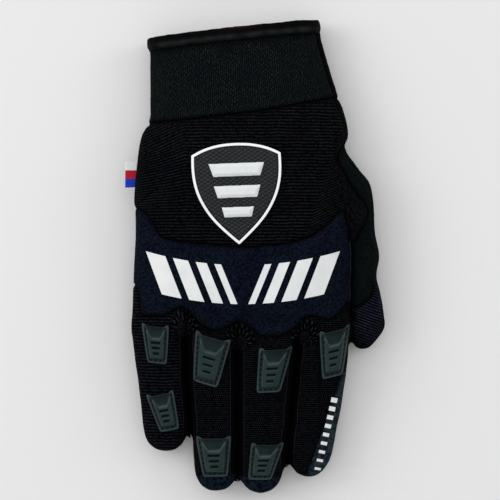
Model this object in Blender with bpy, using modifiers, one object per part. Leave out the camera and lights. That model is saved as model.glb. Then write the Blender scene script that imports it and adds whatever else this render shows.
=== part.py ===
# Motocross glove for the right hand, lying on its palm with the back of the hand up.
# The glove is a hollow soft shell cut into its sewn panels, with a separate hem,
# seven moulded guards, a moulded badge and a woven side tab.
# X runs across from the little finger to the thumb, Y from the fingertips to the cuff
# and Z up from the surface that the palm rests on. The origin is the middle of the footprint.
from collections import namedtuple
from math import cos, pi, sin, tau

import bmesh
import bpy
from mathutils import Matrix, Vector
from mathutils.bvhtree import BVHTree

MM = 0.001

# Whole glove
GLOVE_LENGTH = 228 * MM
GLOVE_WIDTH = 125 * MM
PALM_HEIGHT = 30 * MM

# Walls and clearances
WALL = 1.8 * MM
SEAM_GAP = 0.3 * MM
SEAT_GAP = 0.35 * MM
REST_FLAT = 0.6 * MM
WELD = 0.05 * MM
PATCH_ROOT = 0.5 * MM
FLAT_ANGLE = 0.04
CUT_REACH = 100 * MM

# Hem of the cuff
HEM_WIDTH = 6.0 * MM
HEM_WALL = 3.0 * MM
HEM_PROUD = 0.5 * MM

# Fingers: length from the knuckle seam to the tip, widths and heights of the tube
LITTLE_LENGTH = 61 * MM
LITTLE_ROOT_WIDTH = 26.3 * MM
LITTLE_TIP_WIDTH = 21.2 * MM
RING_LENGTH = 80 * MM
RING_ROOT_WIDTH = 23.4 * MM
RING_TIP_WIDTH = 21.4 * MM
MIDDLE_LENGTH = 77 * MM
MIDDLE_ROOT_WIDTH = 27.6 * MM
MIDDLE_TIP_WIDTH = 21.4 * MM
INDEX_LENGTH = 73.5 * MM
INDEX_ROOT_WIDTH = 25.4 * MM
INDEX_TIP_WIDTH = 22.0 * MM
FINGER_ROOT_HEIGHT = 25 * MM
FINGER_TIP_HEIGHT = 17 * MM
FINGER_OVERLAP = 13 * MM
FINGER_NOSE = 12.5 * MM

# Moulded guards
GUARD_FLANGE = 0.9 * MM
GUARD_HEIGHT = 2.6 * MM
WIDE_GUARD_LENGTH = 23.6 * MM
WIDE_GUARD_WIDTH = 17.4 * MM
NARROW_GUARD_LENGTH = 20.0 * MM
NARROW_GUARD_WIDTH = 14.0 * MM

# Moulded badge
BADGE_LENGTH = 47.9 * MM
BADGE_WIDTH = 42.4 * MM
BADGE_PLATE = 0.8 * MM
BADGE_RIM_WIDTH = 1.5 * MM
BADGE_RIM_HEIGHT = 1.3 * MM
BADGE_BAR = 0.6 * MM
BADGE_TURN = 0.037
BADGE_TOP = (-0.0776, 0.2327)
BADGE_LOWEST = 0.4

# Woven side tab
TAB_LENGTH = 12.4 * MM
TAB_REACH = 4.4 * MM
TAB_THICKNESS = 1.2 * MM
TAB_EDGE = 0.3 * MM
TAB_PLACE = (-0.4655, 0.170)
TAB_TURN = -0.04

HAND_SIDES = 38
FINGER_SIDES = 18
INNER_HAND_SIDES = 22
INNER_FINGER_SIDES = 12
FINE_STEPS = 5
SEAM_STEPS = 3
COARSE_STEPS = 2

# Shares that shape the sections: where one is widest, and the depth and squareness of its halves
BELT_SHARE = 0.46
TOP_POWER = 2.5
UNDER_POWER = 3.2
MITRE_LIMIT = 0.35

COLOURS = {
    "cuff_elastic": ((0.0055, 0.0065, 0.0075), 0.85),
    "rib_knit": ((0.0022, 0.0022, 0.0030), 0.90),
    "soft_panel": ((0.0045, 0.0048, 0.0075), 0.80),
    "finger_knit": ((0.0028, 0.0028, 0.0042), 0.90),
    "suede": ((0.0030, 0.0042, 0.0038), 0.88),
    "guard_rubber": ((0.014, 0.022, 0.025), 0.45),
    "badge_mesh": ((0.030, 0.032, 0.036), 0.50),
    "badge_white": ((0.83, 0.85, 0.85), 0.40),
    "tab_weave": ((0.45, 0.10, 0.12), 0.80),
}

# Sections of the hand from the hem to the knuckles, each through a left and a right point.
# Across and along are shares of the glove's width and length, low and high of its palm height.
HandRow = namedtuple("HandRow", "left left_along right right_along low high")
HAND_ROWS = [
    HandRow(-0.410, 0.429, 0.245, 0.468, 0.03, 0.78),
    HandRow(-0.409, 0.407, 0.256, 0.443, 0.03, 0.79),
    HandRow(-0.409, 0.344, 0.290, 0.378, 0.02, 0.82),
    HandRow(-0.410, 0.294, 0.323, 0.327, 0.01, 0.85),
    HandRow(-0.418, 0.274, 0.338, 0.300, 0.00, 0.88),
    HandRow(-0.438, 0.258, 0.350, 0.277, -0.02, 0.91),
    HandRow(-0.450, 0.232, 0.355, 0.247, -0.02, 0.95),
    HandRow(-0.455, 0.212, 0.345, 0.221, -0.02, 0.98),
    HandRow(-0.460, 0.186, 0.346, 0.193, -0.02, 1.00),
    HandRow(-0.466, 0.150, 0.354, 0.152, -0.02, 1.00),
    HandRow(-0.470, 0.106, 0.363, 0.106, -0.02, 0.99),
    HandRow(-0.463, 0.088, 0.366, 0.088, -0.02, 0.97),
    HandRow(-0.463, 0.040, 0.366, 0.040, -0.02, 0.97),
    HandRow(-0.467, -0.010, 0.360, -0.010, -0.02, 0.96),
    HandRow(-0.473, -0.060, 0.356, -0.060, -0.02, 0.95),
    HandRow(-0.477, -0.105, 0.357, -0.105, -0.02, 0.92),
    HandRow(-0.479, -0.134, 0.359, -0.134, -0.02, 0.87),
    HandRow(-0.470, -0.151, 0.350, -0.153, 0.00, 0.79),
    HandRow(-0.440, -0.164, 0.320, -0.169, 0.06, 0.66),
    HandRow(-0.360, -0.172, 0.240, -0.180, 0.18, 0.48),
]

# Sections of the thumb from its root inside the hand to its tip.
ThumbRow = namedtuple("ThumbRow", "along left right low high")
THUMB_ROWS = [
    ThumbRow(0.222, 0.200, 0.340, 0.10, 0.62),
    ThumbRow(0.200, 0.220, 0.372, 0.02, 0.72),
    ThumbRow(0.176, 0.236, 0.402, -0.02, 0.78),
    ThumbRow(0.154, 0.250, 0.436, -0.02, 0.80),
    ThumbRow(0.124, 0.266, 0.448, -0.02, 0.79),
    ThumbRow(0.092, 0.286, 0.454, -0.02, 0.77),
    ThumbRow(0.064, 0.315, 0.454, -0.02, 0.75),
    ThumbRow(0.044, 0.346, 0.458, -0.02, 0.73),
    ThumbRow(0.028, 0.368, 0.464, -0.02, 0.72),
    ThumbRow(0.000, 0.372, 0.476, -0.02, 0.71),
    ThumbRow(-0.022, 0.373, 0.468, -0.02, 0.70),
    ThumbRow(-0.046, 0.373, 0.461, -0.02, 0.69),
    ThumbRow(-0.073, 0.373, 0.475, -0.02, 0.68),
    ThumbRow(-0.100, 0.373, 0.486, -0.02, 0.66),
    ThumbRow(-0.126, 0.373, 0.494, -0.02, 0.63),
    ThumbRow(-0.150, 0.373, 0.499, 0.00, 0.58),
    ThumbRow(-0.167, 0.374, 0.482, 0.03, 0.53),
    ThumbRow(-0.184, 0.377, 0.456, 0.08, 0.45),
    ThumbRow(-0.197, 0.386, 0.432, 0.16, 0.35),
]

# Each finger: its root's middle, its tip's lean and sideways bow, its share of the heights and of the nose,
# then its length and its widths.
Finger = namedtuple("Finger", "name across along lean bow tall nose length root_width tip_width")
FINGERS = [
    Finger("little", -0.376, -0.146, 0.034, 0.001, 0.88, 1.0,
           LITTLE_LENGTH, LITTLE_ROOT_WIDTH, LITTLE_TIP_WIDTH),
    Finger("ring", -0.170, -0.146, 0.021, 0.000, 0.97, 1.0,
           RING_LENGTH, RING_ROOT_WIDTH, RING_TIP_WIDTH),
    Finger("middle", 0.043, -0.163, -0.030, 0.000, 1.00, 1.0,
           MIDDLE_LENGTH, MIDDLE_ROOT_WIDTH, MIDDLE_TIP_WIDTH),
    Finger("index", 0.262, -0.144, -0.078, 0.016, 0.94, 1.3,
           INDEX_LENGTH, INDEX_ROOT_WIDTH, INDEX_TIP_WIDTH),
]
TUBE_STEPS = (0.0, 0.33, 0.67)
NOSE_STEPS = (0.0, 0.35, 0.62, 0.82, 0.94, 0.99)
NOSE_POWER = 2.3
ROOT_TUCK = 0.86
FINGER_SQUARE = 2.9
NOSE_SINK = 0.36
NOSE_TOP = 0.62
MOUTH_LEAD = 0.06

# Height of the seam between the back and the palm side, as shares of the palm height.
SeamRow = namedtuple("SeamRow", "along left right")
SEAM_ROWS = [
    SeamRow(0.60, 0.34, 0.60),
    SeamRow(0.30, 0.36, 0.64),
    SeamRow(0.20, 0.38, 0.62),
    SeamRow(0.00, 0.36, 0.56),
    SeamRow(-0.12, 0.33, 0.46),
    SeamRow(-0.20, 0.28, 0.36),
    SeamRow(-0.60, 0.16, 0.24),
]

# The hem's profile: run is a share of its width, proud of how far it stands out or, below 0, of its wall.
HemTurn = namedtuple("HemTurn", "run proud")
HEM_PROFILE = [HemTurn(0.0, 0.0), HemTurn(0.06, 1.0), HemTurn(0.30, 1.35), HemTurn(0.75, 1.2),
               HemTurn(1.0, 0.3), HemTurn(1.0, -0.6), HemTurn(0.85, -1.0), HemTurn(0.0, -1.0)]

# Seams on the back, from the little-finger side to the thumb side, as shares across and along.
CUFF_SEAM = [(-0.60, 0.280), (-0.41, 0.279), (-0.25, 0.285), (-0.02, 0.299), (0.13, 0.313), (0.29, 0.330),
             (0.60, 0.365)]
RIB_SEAM = [(-0.60, 0.100), (-0.47, 0.100), (-0.41, 0.081), (-0.37, 0.044), (-0.31, 0.031), (-0.18, 0.024),
            (-0.05, 0.019), (0.08, 0.023), (0.17, 0.033), (0.25, 0.055), (0.33, 0.098)]
WEB_SEAM = [(0.336, 0.088), (0.352, 0.060), (0.366, 0.035), (0.3695, 0.020)]
SCALLOP_SEAM = [(-0.60, -0.050), (-0.462, -0.062), (-0.44, -0.118), (-0.40, -0.124), (-0.31, -0.130),
                (-0.15, -0.156), (0.06, -0.168), (0.25, -0.140), (0.31, -0.122), (0.35, -0.098),
                (0.3695, -0.092)]
SUEDE_SEAM = [(0.355, 0.245), (0.312, 0.205), (0.330, 0.180), (0.370, 0.140), (0.420, 0.105), (0.428, 0.085),
              (0.412, 0.065), (0.390, 0.045), (0.3695, 0.020)]
THUMB_KNIT_SEAM = [(0.3695, -0.110), (0.410, -0.100), (0.448, -0.076), (0.466, -0.050), (0.60, 0.000)]
THUMB_SIDE = 0.3695
BEYOND = 0.60
LITTLE_EDGE = [(-0.59, -0.04), (-0.59, -BEYOND)]
INDEX_EDGE = [(THUMB_SIDE - 0.001, -0.06), (THUMB_SIDE - 0.001, -BEYOND)]
THUMB_ROOT = 0.245
THUMB_FOOT = -0.30
WEB_FOOT = -0.030
SUEDE_FOOT = -0.08

# Scalloped bumps of the soft panel's edge above the gaps between the fingers.
Bump = namedtuple("Bump", "across rise half_width")
BUMPS = [Bump(-0.275, 0.029, 0.085), Bump(-0.060, 0.030, 0.090), Bump(0.197, 0.026, 0.085)]

# Lines down the gaps between the fingers: across is a share of the glove's width,
# run a share of the named finger's length from its root.
FingerGap = namedtuple("FingerGap", "finger points")
FINGER_GAPS = [
    FingerGap("ring", [(-0.272, -0.245), (-0.2645, 0.040), (-0.2575, 0.638), (-0.250, 1.294)]),
    FingerGap("ring", [(-0.060, -0.245), (-0.0715, 0.125), (-0.0705, 0.724), (-0.066, 1.294)]),
    FingerGap("middle", [(0.185, -0.305), (0.157, 0.080), (0.134, 0.4945), (0.115, 0.802), (0.105, 1.294)]),
]

# Guards: the middle of the wide end, as shares of its finger's length and root width, then its size,
# and the turns of its length and width in radians.
Guard = namedtuple("Guard", "finger spot run side length width size turn tilt")
GUARDS = [
    Guard("little", "base", -0.019, -0.030, NARROW_GUARD_LENGTH, NARROW_GUARD_WIDTH, 0.96, 0.045, -0.10),
    Guard("ring", "base", 0.0485, 0.043, WIDE_GUARD_LENGTH, WIDE_GUARD_WIDTH, 1.03, -0.17, -0.28),
    Guard("middle", "base", 0.074, 0.164, WIDE_GUARD_LENGTH, WIDE_GUARD_WIDTH, 0.95, -0.17, 0.05),
    Guard("index", "base", 0.0124, 0.188, WIDE_GUARD_LENGTH, WIDE_GUARD_WIDTH, 0.90, -0.05, 0.24),
    Guard("little", "mid", 0.516, -0.055, NARROW_GUARD_LENGTH, NARROW_GUARD_WIDTH, 0.97, 0.26, 0.18),
    Guard("ring", "tip", 0.653, -0.036, NARROW_GUARD_LENGTH, WIDE_GUARD_WIDTH, 1.00, 0.05, 0.01),
    Guard("middle", "tip", 0.669, 0.1045, NARROW_GUARD_LENGTH, WIDE_GUARD_WIDTH, 0.93, -0.22, 0.0),
]

# Grid lines of a guard: where each lies, and the share of the raised body's height that it has.
GridLine = namedtuple("GridLine", "share rise")
GUARD_COLUMNS = [GridLine(-1.0, 0.0), GridLine(-0.82, 0.0), GridLine(-0.70, 1.0), GridLine(-0.25, 1.0),
                 GridLine(0.25, 1.0), GridLine(0.70, 1.0), GridLine(0.82, 0.0), GridLine(1.0, 0.0)]
GUARD_ROWS = [GridLine(0.0, 0.0), GridLine(0.07, 0.0), GridLine(0.20, 1.0), GridLine(0.42, 1.0),
              GridLine(0.64, 0.94), GridLine(0.84, 0.85), GridLine(0.93, 0.0), GridLine(1.0, 0.0)]
GUARD_TAPER = 0.69
GUARD_NOTCH = 0.06
GUARD_NOTCH_END = 0.3

# Right half of the badge's outline from the top's middle to the tip, as shares of its half width and length.
BADGE_HALF = [(0.0, 0.0), (0.30, 0.006), (0.55, 0.027), (0.78, 0.060), (0.99, 0.110), (1.0, 0.23), (0.98, 0.36),
              (0.91, 0.49), (0.80, 0.60), (0.65, 0.71), (0.46, 0.81), (0.24, 0.905), (0.0, 1.0)]

# The rim's profile: inward is a share of its width, rise of its height; below 0 it is rooted in the glove.
RimTurn = namedtuple("RimTurn", "inward rise")
RIM_PROFILE = [RimTurn(0.0, -0.4), RimTurn(0.0, 0.8), RimTurn(0.3, 1.0), RimTurn(0.75, 1.0),
               RimTurn(1.0, 0.7), RimTurn(1.0, -0.4)]

# The badge's bars: where each starts and its depth, as shares of the badge's length, and its half width.
BadgeBar = namedtuple("BadgeBar", "run width depth")
BADGE_BARS = [BadgeBar(0.20, 0.62, 0.13), BadgeBar(0.42, 0.52, 0.12), BadgeBar(0.63, 0.36, 0.10)]
BAR_TAPER = 0.16
BAR_ROWS = (0.0, 0.5, 1.0)
BAR_COLUMNS = (-1.0, -0.5, 0.0, 0.5, 1.0)


def place(across, along, height=0.0):
    return Vector((across * GLOVE_WIDTH, along * GLOVE_LENGTH, height * PALM_HEIGHT))


def collection(name):
    found = bpy.data.collections.new(name)
    bpy.context.scene.collection.children.link(found)
    return found


def material(name):
    colour, roughness = COLOURS[name]
    found = bpy.data.materials.new(name)
    found.use_nodes = True
    shader = found.node_tree.nodes["Principled BSDF"]
    shader.inputs["Base Color"].default_value = (*colour, 1.0)
    shader.inputs["Roughness"].default_value = roughness
    shader.inputs["Metallic"].default_value = 0.0
    return found


def mesh_object(name, bm, home):
    bmesh.ops.recalc_face_normals(bm, faces=bm.faces)
    mesh = bpy.data.meshes.new(name)
    bm.to_mesh(mesh)
    bm.free()
    made = bpy.data.objects.new(name, mesh)
    home.objects.link(made)
    if home is CUTTERS:
        made.hide_render = True
        made.display_type = "WIRE"
    return made


def power(value, exponent):
    return abs(value) ** exponent * (1 if value >= 0 else -1)


def section(left, right, low, high, sides, top_power=TOP_POWER, under_power=UNDER_POWER):
    """A soft oval section that stands on the line from left to right."""
    middle = (left + right) / 2
    half = (right - left) / 2
    belt = low + BELT_SHARE * (high - low)
    ring = []
    for step in range(sides):
        angle = tau * step / sides
        over = sin(angle) >= 0
        shape = top_power if over else under_power
        reach = high - belt if over else belt - low
        spot = middle + half * power(cos(angle), 2 / shape)
        spot.z = belt + reach * power(sin(angle), 2 / shape)
        ring.append(spot)
    return ring


def loft(name, rings, home):
    """A closed solid through rings that all have the same number of points."""
    bm = bmesh.new()
    rows = [[bm.verts.new(spot) for spot in ring] for ring in rings]
    sides = len(rings[0])
    for near, far in zip(rows, rows[1:]):
        for side in range(sides):
            after = (side + 1) % sides
            bm.faces.new((near[side], near[after], far[after], far[side]))
    bm.faces.new(rows[0])
    bm.faces.new(rows[-1])
    return mesh_object(name, bm, home)


def prism(name, outline, bottom, top, home):
    """An upright solid over a plan outline."""
    lower = [Vector((spot.x, spot.y, bottom)) for spot in outline]
    upper = [Vector((spot.x, spot.y, top)) for spot in outline]
    return loft(name, [lower, upper], home)


def inset(outline, distance):
    """The plan outline moved inwards by a distance; its points run anticlockwise."""
    moved = []
    count = len(outline)
    for index, spot in enumerate(outline):
        before = (spot - outline[index - 1]).to_2d().normalized()
        after = (outline[(index + 1) % count] - spot).to_2d().normalized()
        inward = Vector((-before.y - after.y, before.x + after.x)).normalized()
        spread = max(MITRE_LIMIT, inward.dot(Vector((-after.y, after.x))))
        step = inward * (distance / spread)
        moved.append(Vector((spot.x + step.x, spot.y + step.y, spot.z)))
    return moved


def anticlockwise(outline):
    area = sum(a.x * b.y - b.x * a.y for a, b in zip(outline, outline[1:] + outline[:1]))
    return outline if area > 0 else outline[::-1]


def smooth(points, steps):
    """A curve through plan points, by Catmull-Rom blending."""
    spots = [place(*point) for point in points]
    padded = [spots[0] * 2 - spots[1]] + spots + [spots[-1] * 2 - spots[-2]]
    curve = []
    for p0, p1, p2, p3 in zip(padded, padded[1:], padded[2:], padded[3:]):
        for step in range(steps):
            t = step / steps
            curve.append(0.5 * (2 * p1 + (p2 - p0) * t + (2 * p0 - 5 * p1 + 4 * p2 - p3) * t ** 2
                                + (3 * p1 - p0 - 3 * p2 + p3) * t ** 3))
    curve.append(spots[-1])
    return curve


def boolean(target, cutter, operation):
    step = target.modifiers.new(operation.title(), "BOOLEAN")
    step.operation = operation
    step.solver = "EXACT"
    step.object = cutter


def evaluated_mesh(source):
    """The object's mesh with its modifiers applied, without slivers shorter than WELD."""
    bpy.context.view_layer.update()
    graph = bpy.context.evaluated_depsgraph_get()
    mesh = bpy.data.meshes.new_from_object(source.evaluated_get(graph), depsgraph=graph)
    bm = bmesh.new()
    bm.from_mesh(mesh)
    bmesh.ops.remove_doubles(bm, verts=bm.verts, dist=WELD)
    bmesh.ops.dissolve_degenerate(bm, dist=WELD, edges=bm.edges)
    bmesh.ops.triangulate(bm, faces=bm.faces)
    bm.to_mesh(mesh)
    bm.free()
    return mesh


def hand_form(name, margin, sides, rows):
    rings = []
    for row in rows:
        left = place(row.left, row.left_along)
        right = place(row.right, row.right_along)
        step = (right - left).normalized() * margin
        low = row.low * PALM_HEIGHT
        inner_low = max(low, 0.0) + margin
        rings.append(section(left + step, right - step, inner_low if margin else low,
                             row.high * PALM_HEIGHT - margin, sides))
    return loft(name, rings, CUTTERS)


def thumb_form(name, margin, sides, rows):
    rings = []
    for row in rows:
        left = place(row.left, row.along) + Vector((margin, 0, 0))
        right = place(row.right, row.along) - Vector((margin, 0, 0))
        low = row.low * PALM_HEIGHT
        inner_low = max(low, 0.0) + margin
        rings.append(section(left, right, inner_low if margin else low,
                             row.high * PALM_HEIGHT - margin, sides))
    return loft(name, rings, CUTTERS)


def finger_middle(finger, share):
    """A point of the finger's middle line, and its sideways direction."""
    root = place(finger.across, finger.along)
    drift = finger.lean * GLOVE_WIDTH
    bow = finger.bow * GLOVE_WIDTH
    spot = root + Vector((drift * share + bow * 4 * share * (1 - share), -finger.length * share, 0))
    slope = (drift + bow * 4 * (1 - 2 * share)) / finger.length
    return spot, Vector((1, slope, 0)).normalized()


def finger_form(finger, margin, sides):
    """The finger's tube with its rounded tip, or its hollow where there is a margin."""
    nose = FINGER_NOSE * finger.nose / finger.length
    reach = 1 - margin / finger.length
    stations = [(-FINGER_OVERLAP / finger.length, 0.0)]
    stations += [(share * (1 - nose), 0.0) for share in TUBE_STEPS]
    stations += [(1 - nose + nose * share, share) for share in NOSE_STEPS]
    rings = []
    for share, tip in stations:
        spot, side = finger_middle(finger, share * reach)
        run = max(0.0, share)
        width = finger.root_width + (finger.tip_width - finger.root_width) * run
        height = finger.tall * (FINGER_ROOT_HEIGHT + (FINGER_TIP_HEIGHT - FINGER_ROOT_HEIGHT) * run)
        rounding = (1 - tip ** NOSE_POWER) ** (1 / NOSE_POWER)
        tuck = ROOT_TUCK if share < 0 else 1.0
        half = max(width / 2 * rounding * tuck - margin, SEAM_GAP)
        low = 2 * REST_FLAT if share < 0 else height * NOSE_SINK * (1 - rounding) - REST_FLAT * rounding
        high = height * (NOSE_TOP + (1 - NOSE_TOP) * rounding) * tuck - margin
        if margin:
            low = max(low, 0.0) + margin
        high = max(high, low + 2 * SEAM_GAP)
        rings.append(section(spot - side * half, spot + side * half, low, high, sides, FINGER_SQUARE))
    return loft(finger.name + ("_inner" if margin else "_outer"), rings, CUTTERS)


def whole_shell():
    """The hollow glove in one piece, and its outer form."""
    outer = hand_form("hand_outer", 0.0, HAND_SIDES, HAND_ROWS)
    boolean(outer, thumb_form("thumb_outer", 0.0, FINGER_SIDES, THUMB_ROWS), "UNION")
    mouth = HAND_ROWS[0]
    lead = mouth._replace(left_along=mouth.left_along + MOUTH_LEAD,
                          right_along=mouth.right_along + MOUTH_LEAD)
    inner = hand_form("hand_inner", WALL, INNER_HAND_SIDES, [lead] + HAND_ROWS[:-2])
    boolean(inner, thumb_form("thumb_inner", WALL, INNER_FINGER_SIDES, THUMB_ROWS[1:-2:2]), "UNION")
    for finger in FINGERS:
        boolean(outer, finger_form(finger, 0.0, FINGER_SIDES), "UNION")
        boolean(inner, finger_form(finger, WALL, INNER_FINGER_SIDES), "UNION")
    form = bpy.data.objects.new("outer_form", evaluated_mesh(outer))
    hollow = bpy.data.objects.new("inner_form", evaluated_mesh(inner))
    for made in (form, hollow):
        CUTTERS.objects.link(made)
        made.hide_render = True
        made.display_type = "WIRE"
    shell = bpy.data.objects.new("shell", form.data.copy())
    CUTTERS.objects.link(shell)
    shell.hide_render = True
    boolean(shell, hollow, "DIFFERENCE")
    return evaluated_mesh(shell), form


def seam_sheet(name, offset, far_height):
    """The space above or below the long seam between the back and the palm side."""
    rings = []
    for row in SEAM_ROWS:
        left = place(-BEYOND, row.along, row.left)
        right = place(BEYOND, row.along, row.right)
        rings.append([left + Vector((0, 0, offset)), right + Vector((0, 0, offset)),
                      Vector((right.x, right.y, far_height)), Vector((left.x, left.y, far_height))])
    return loft(name, rings, CUTTERS)


def panel(name, shell_mesh, halves, outline, slot):
    """One sewn panel: the part of the shell that lies within its outline and its half."""
    made = bpy.data.objects.new(name, shell_mesh.copy())
    GLOVE.objects.link(made)
    made.data.materials.clear()
    made.data.materials.append(bpy.data.materials.get(slot) or material(slot))
    edge = inset(anticlockwise(outline), SEAM_GAP / 2)
    boolean(made, prism(name + "_cut", edge, -CUT_REACH, CUT_REACH, CUTTERS), "INTERSECT")
    cut_out = evaluated_mesh(made)
    made.modifiers.clear()
    made.data = cut_out
    boolean(made, halves, "INTERSECT")
    thin_out = made.modifiers.new("Thin out", "DECIMATE")
    thin_out.decimate_type = "DISSOLVE"
    thin_out.angle_limit = FLAT_ANGLE


def scalloped_edge():
    """The soft panel's lower edge: a smile with a bump above each gap between fingers."""
    edge = []
    for spot in smooth(SCALLOP_SEAM, FINE_STEPS):
        rise = 0.0
        for bump in BUMPS:
            away = (spot.x / GLOVE_WIDTH - bump.across) / bump.half_width
            if abs(away) < 1:
                rise += bump.rise * GLOVE_LENGTH * (0.5 + 0.5 * cos(pi * away))
        edge.append(Vector((spot.x, spot.y + rise, 0)))
    return edge


def finger_named(name):
    return next(finger for finger in FINGERS if finger.name == name)


def gap_points(gap):
    """The gap's points as shares across and along the glove."""
    finger = finger_named(gap.finger)
    return [(across, finger.along - run * finger.length / GLOVE_LENGTH) for across, run in gap.points]


def back_panels(shell_mesh, above):
    cuff = smooth(CUFF_SEAM, SEAM_STEPS)
    rib = smooth(RIB_SEAM, SEAM_STEPS)
    web = smooth(WEB_SEAM, COARSE_STEPS)
    scallop = scalloped_edge()
    suede = smooth(SUEDE_SEAM, SEAM_STEPS)
    knit = smooth(THUMB_KNIT_SEAM, SEAM_STEPS)
    gaps = [smooth(gap_points(gap), COARSE_STEPS) for gap in FINGER_GAPS]

    upper = [place(BEYOND, BEYOND), place(-BEYOND, BEYOND)]
    panel("cuff_back", shell_mesh, above, cuff + upper, "cuff_elastic")
    rib_outline = rib + web[:-1] + suede[::-1][1:] + [place(BEYOND, THUMB_ROOT)] + cuff[::-1]
    panel("back_rib_panel", shell_mesh, above, rib_outline, "rib_knit")
    knuckle_outline = rib + web + [place(THUMB_SIDE, WEB_FOOT)] + scallop[::-1]
    panel("knuckle_panel", shell_mesh, above, knuckle_outline, "soft_panel")

    edges = [[place(*point) for point in line] for line in (LITTLE_EDGE, INDEX_EDGE)]
    sides = [edges[0]] + gaps + [edges[1]]
    for finger, left, right in zip(FINGERS, sides, sides[1:]):
        start = crossing(left, scallop)
        end = crossing(right, scallop)
        top = [spot for spot in scallop if start.x + MM < spot.x < end.x - MM]
        left_run = [spot for spot in left[::-1] if spot.y < start.y - MM]
        right_run = [spot for spot in right if spot.y < end.y - MM]
        outline = left_run + [start] + top + [end] + right_run
        panel("finger_" + finger.name, shell_mesh, above, outline, "finger_knit")

    suede_outline = suede + [place(THUMB_SIDE, SUEDE_FOOT)] + knit + [place(BEYOND, THUMB_ROOT)]
    panel("thumb_suede", shell_mesh, above, suede_outline, "suede")
    knit_outline = knit + [place(BEYOND, THUMB_FOOT), place(THUMB_SIDE, THUMB_FOOT)]
    panel("thumb_knit", shell_mesh, above, knit_outline, "rib_knit")


def crossing(line, edge):
    """Where a gap line meets the scalloped edge."""
    best = None
    for a, b in zip(line, line[1:]):
        for c, d in zip(edge, edge[1:]):
            r = b - a
            s = d - c
            turn = r.x * s.y - r.y * s.x
            if abs(turn) < 1e-15:
                continue
            t = ((c.x - a.x) * s.y - (c.y - a.y) * s.x) / turn
            u = ((c.x - a.x) * r.y - (c.y - a.y) * r.x) / turn
            if 0 <= t <= 1 and 0 <= u <= 1:
                best = a + r * t
    return best if best is not None else line[0]


def palm_side(shell_mesh, below):
    cuff = smooth(CUFF_SEAM, SEAM_STEPS)
    upper = [place(BEYOND, BEYOND), place(-BEYOND, BEYOND)]
    lower = [place(-BEYOND, -BEYOND), place(BEYOND, -BEYOND)]
    panel("cuff_palm_side", shell_mesh, below, cuff + upper, "cuff_elastic")
    panel("palm_panel", shell_mesh, below, lower + cuff[::-1], "suede")


def hem():
    """The rolled edge of the cuff: a ring that follows the cuff's mouth."""
    mouth = HAND_ROWS[0]
    left = place(mouth.left, mouth.left_along)
    right = place(mouth.right, mouth.right_along)
    across = (right - left).normalized()
    outward = Vector((-across.y, across.x, 0))
    low = mouth.low * PALM_HEIGHT
    high = mouth.high * PALM_HEIGHT
    rings = []
    for turn in HEM_PROFILE:
        swell = HEM_PROUD * turn.proud if turn.proud >= 0 else HEM_WALL * turn.proud
        shift = outward * (SEAM_GAP + HEM_WIDTH * turn.run)
        rings.append([spot + shift for spot in section(left - across * swell, right + across * swell,
                                                       low - swell, high + swell, HAND_SIDES)])
    bm = bmesh.new()
    rows = [[bm.verts.new(spot) for spot in ring] for ring in rings]
    for near, far in zip(rows, rows[1:] + rows[:1]):
        for side in range(HAND_SIDES):
            after = (side + 1) % HAND_SIDES
            bm.faces.new((near[side], near[after], far[after], far[side]))
    made = mesh_object("cuff_hem", bm, GLOVE)
    made.data.materials.append(bpy.data.materials["cuff_elastic"])


def drop(tree, spot):
    """The height of the glove's outer form under a plan point."""
    hit = tree.ray_cast(Vector((spot.x, spot.y, CUT_REACH)), Vector((0, 0, -1)))
    return hit[0].z if hit[0] else 0.0


def seat(made, form, height):
    """Trims a piece so that its underside follows the glove at a height above it."""
    bed = bpy.data.objects.new(made.name + "_bed", form.data)
    bed.location.z = height
    bed.hide_render = True
    bed.display_type = "WIRE"
    CUTTERS.objects.link(bed)
    boolean(made, bed, "DIFFERENCE")


def patch(name, tree, spots, lifts, slot):
    """A solid over a grid of plan spots: each has its top's height above the glove."""
    bm = bmesh.new()
    top = []
    under = []
    for row, rises in zip(spots, lifts):
        ground = [drop(tree, spot) for spot in row]
        under.append([bm.verts.new((spot.x, spot.y, base - PATCH_ROOT)) for spot, base in zip(row, ground)])
        top.append([bm.verts.new((spot.x, spot.y, base + rise))
                    for spot, base, rise in zip(row, ground, rises)])
    rows = len(spots)
    columns = len(spots[0])
    for i in range(rows - 1):
        for j in range(columns - 1):
            bm.faces.new((top[i][j], top[i][j + 1], top[i + 1][j + 1], top[i + 1][j]))
            bm.faces.new((under[i][j], under[i + 1][j], under[i + 1][j + 1], under[i][j + 1]))
    rim = [(0, j) for j in range(columns - 1)] + [(i, columns - 1) for i in range(rows - 1)]
    rim += [(rows - 1, j) for j in range(columns - 1, 0, -1)] + [(i, 0) for i in range(rows - 1, 0, -1)]
    for (a, b), (c, d) in zip(rim, rim[1:] + rim[:1]):
        bm.faces.new((top[a][b], under[a][b], under[c][d], top[c][d]))
    made = mesh_object(name, bm, GLOVE)
    made.data.materials.append(bpy.data.materials.get(slot) or material(slot))
    return made


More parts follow.
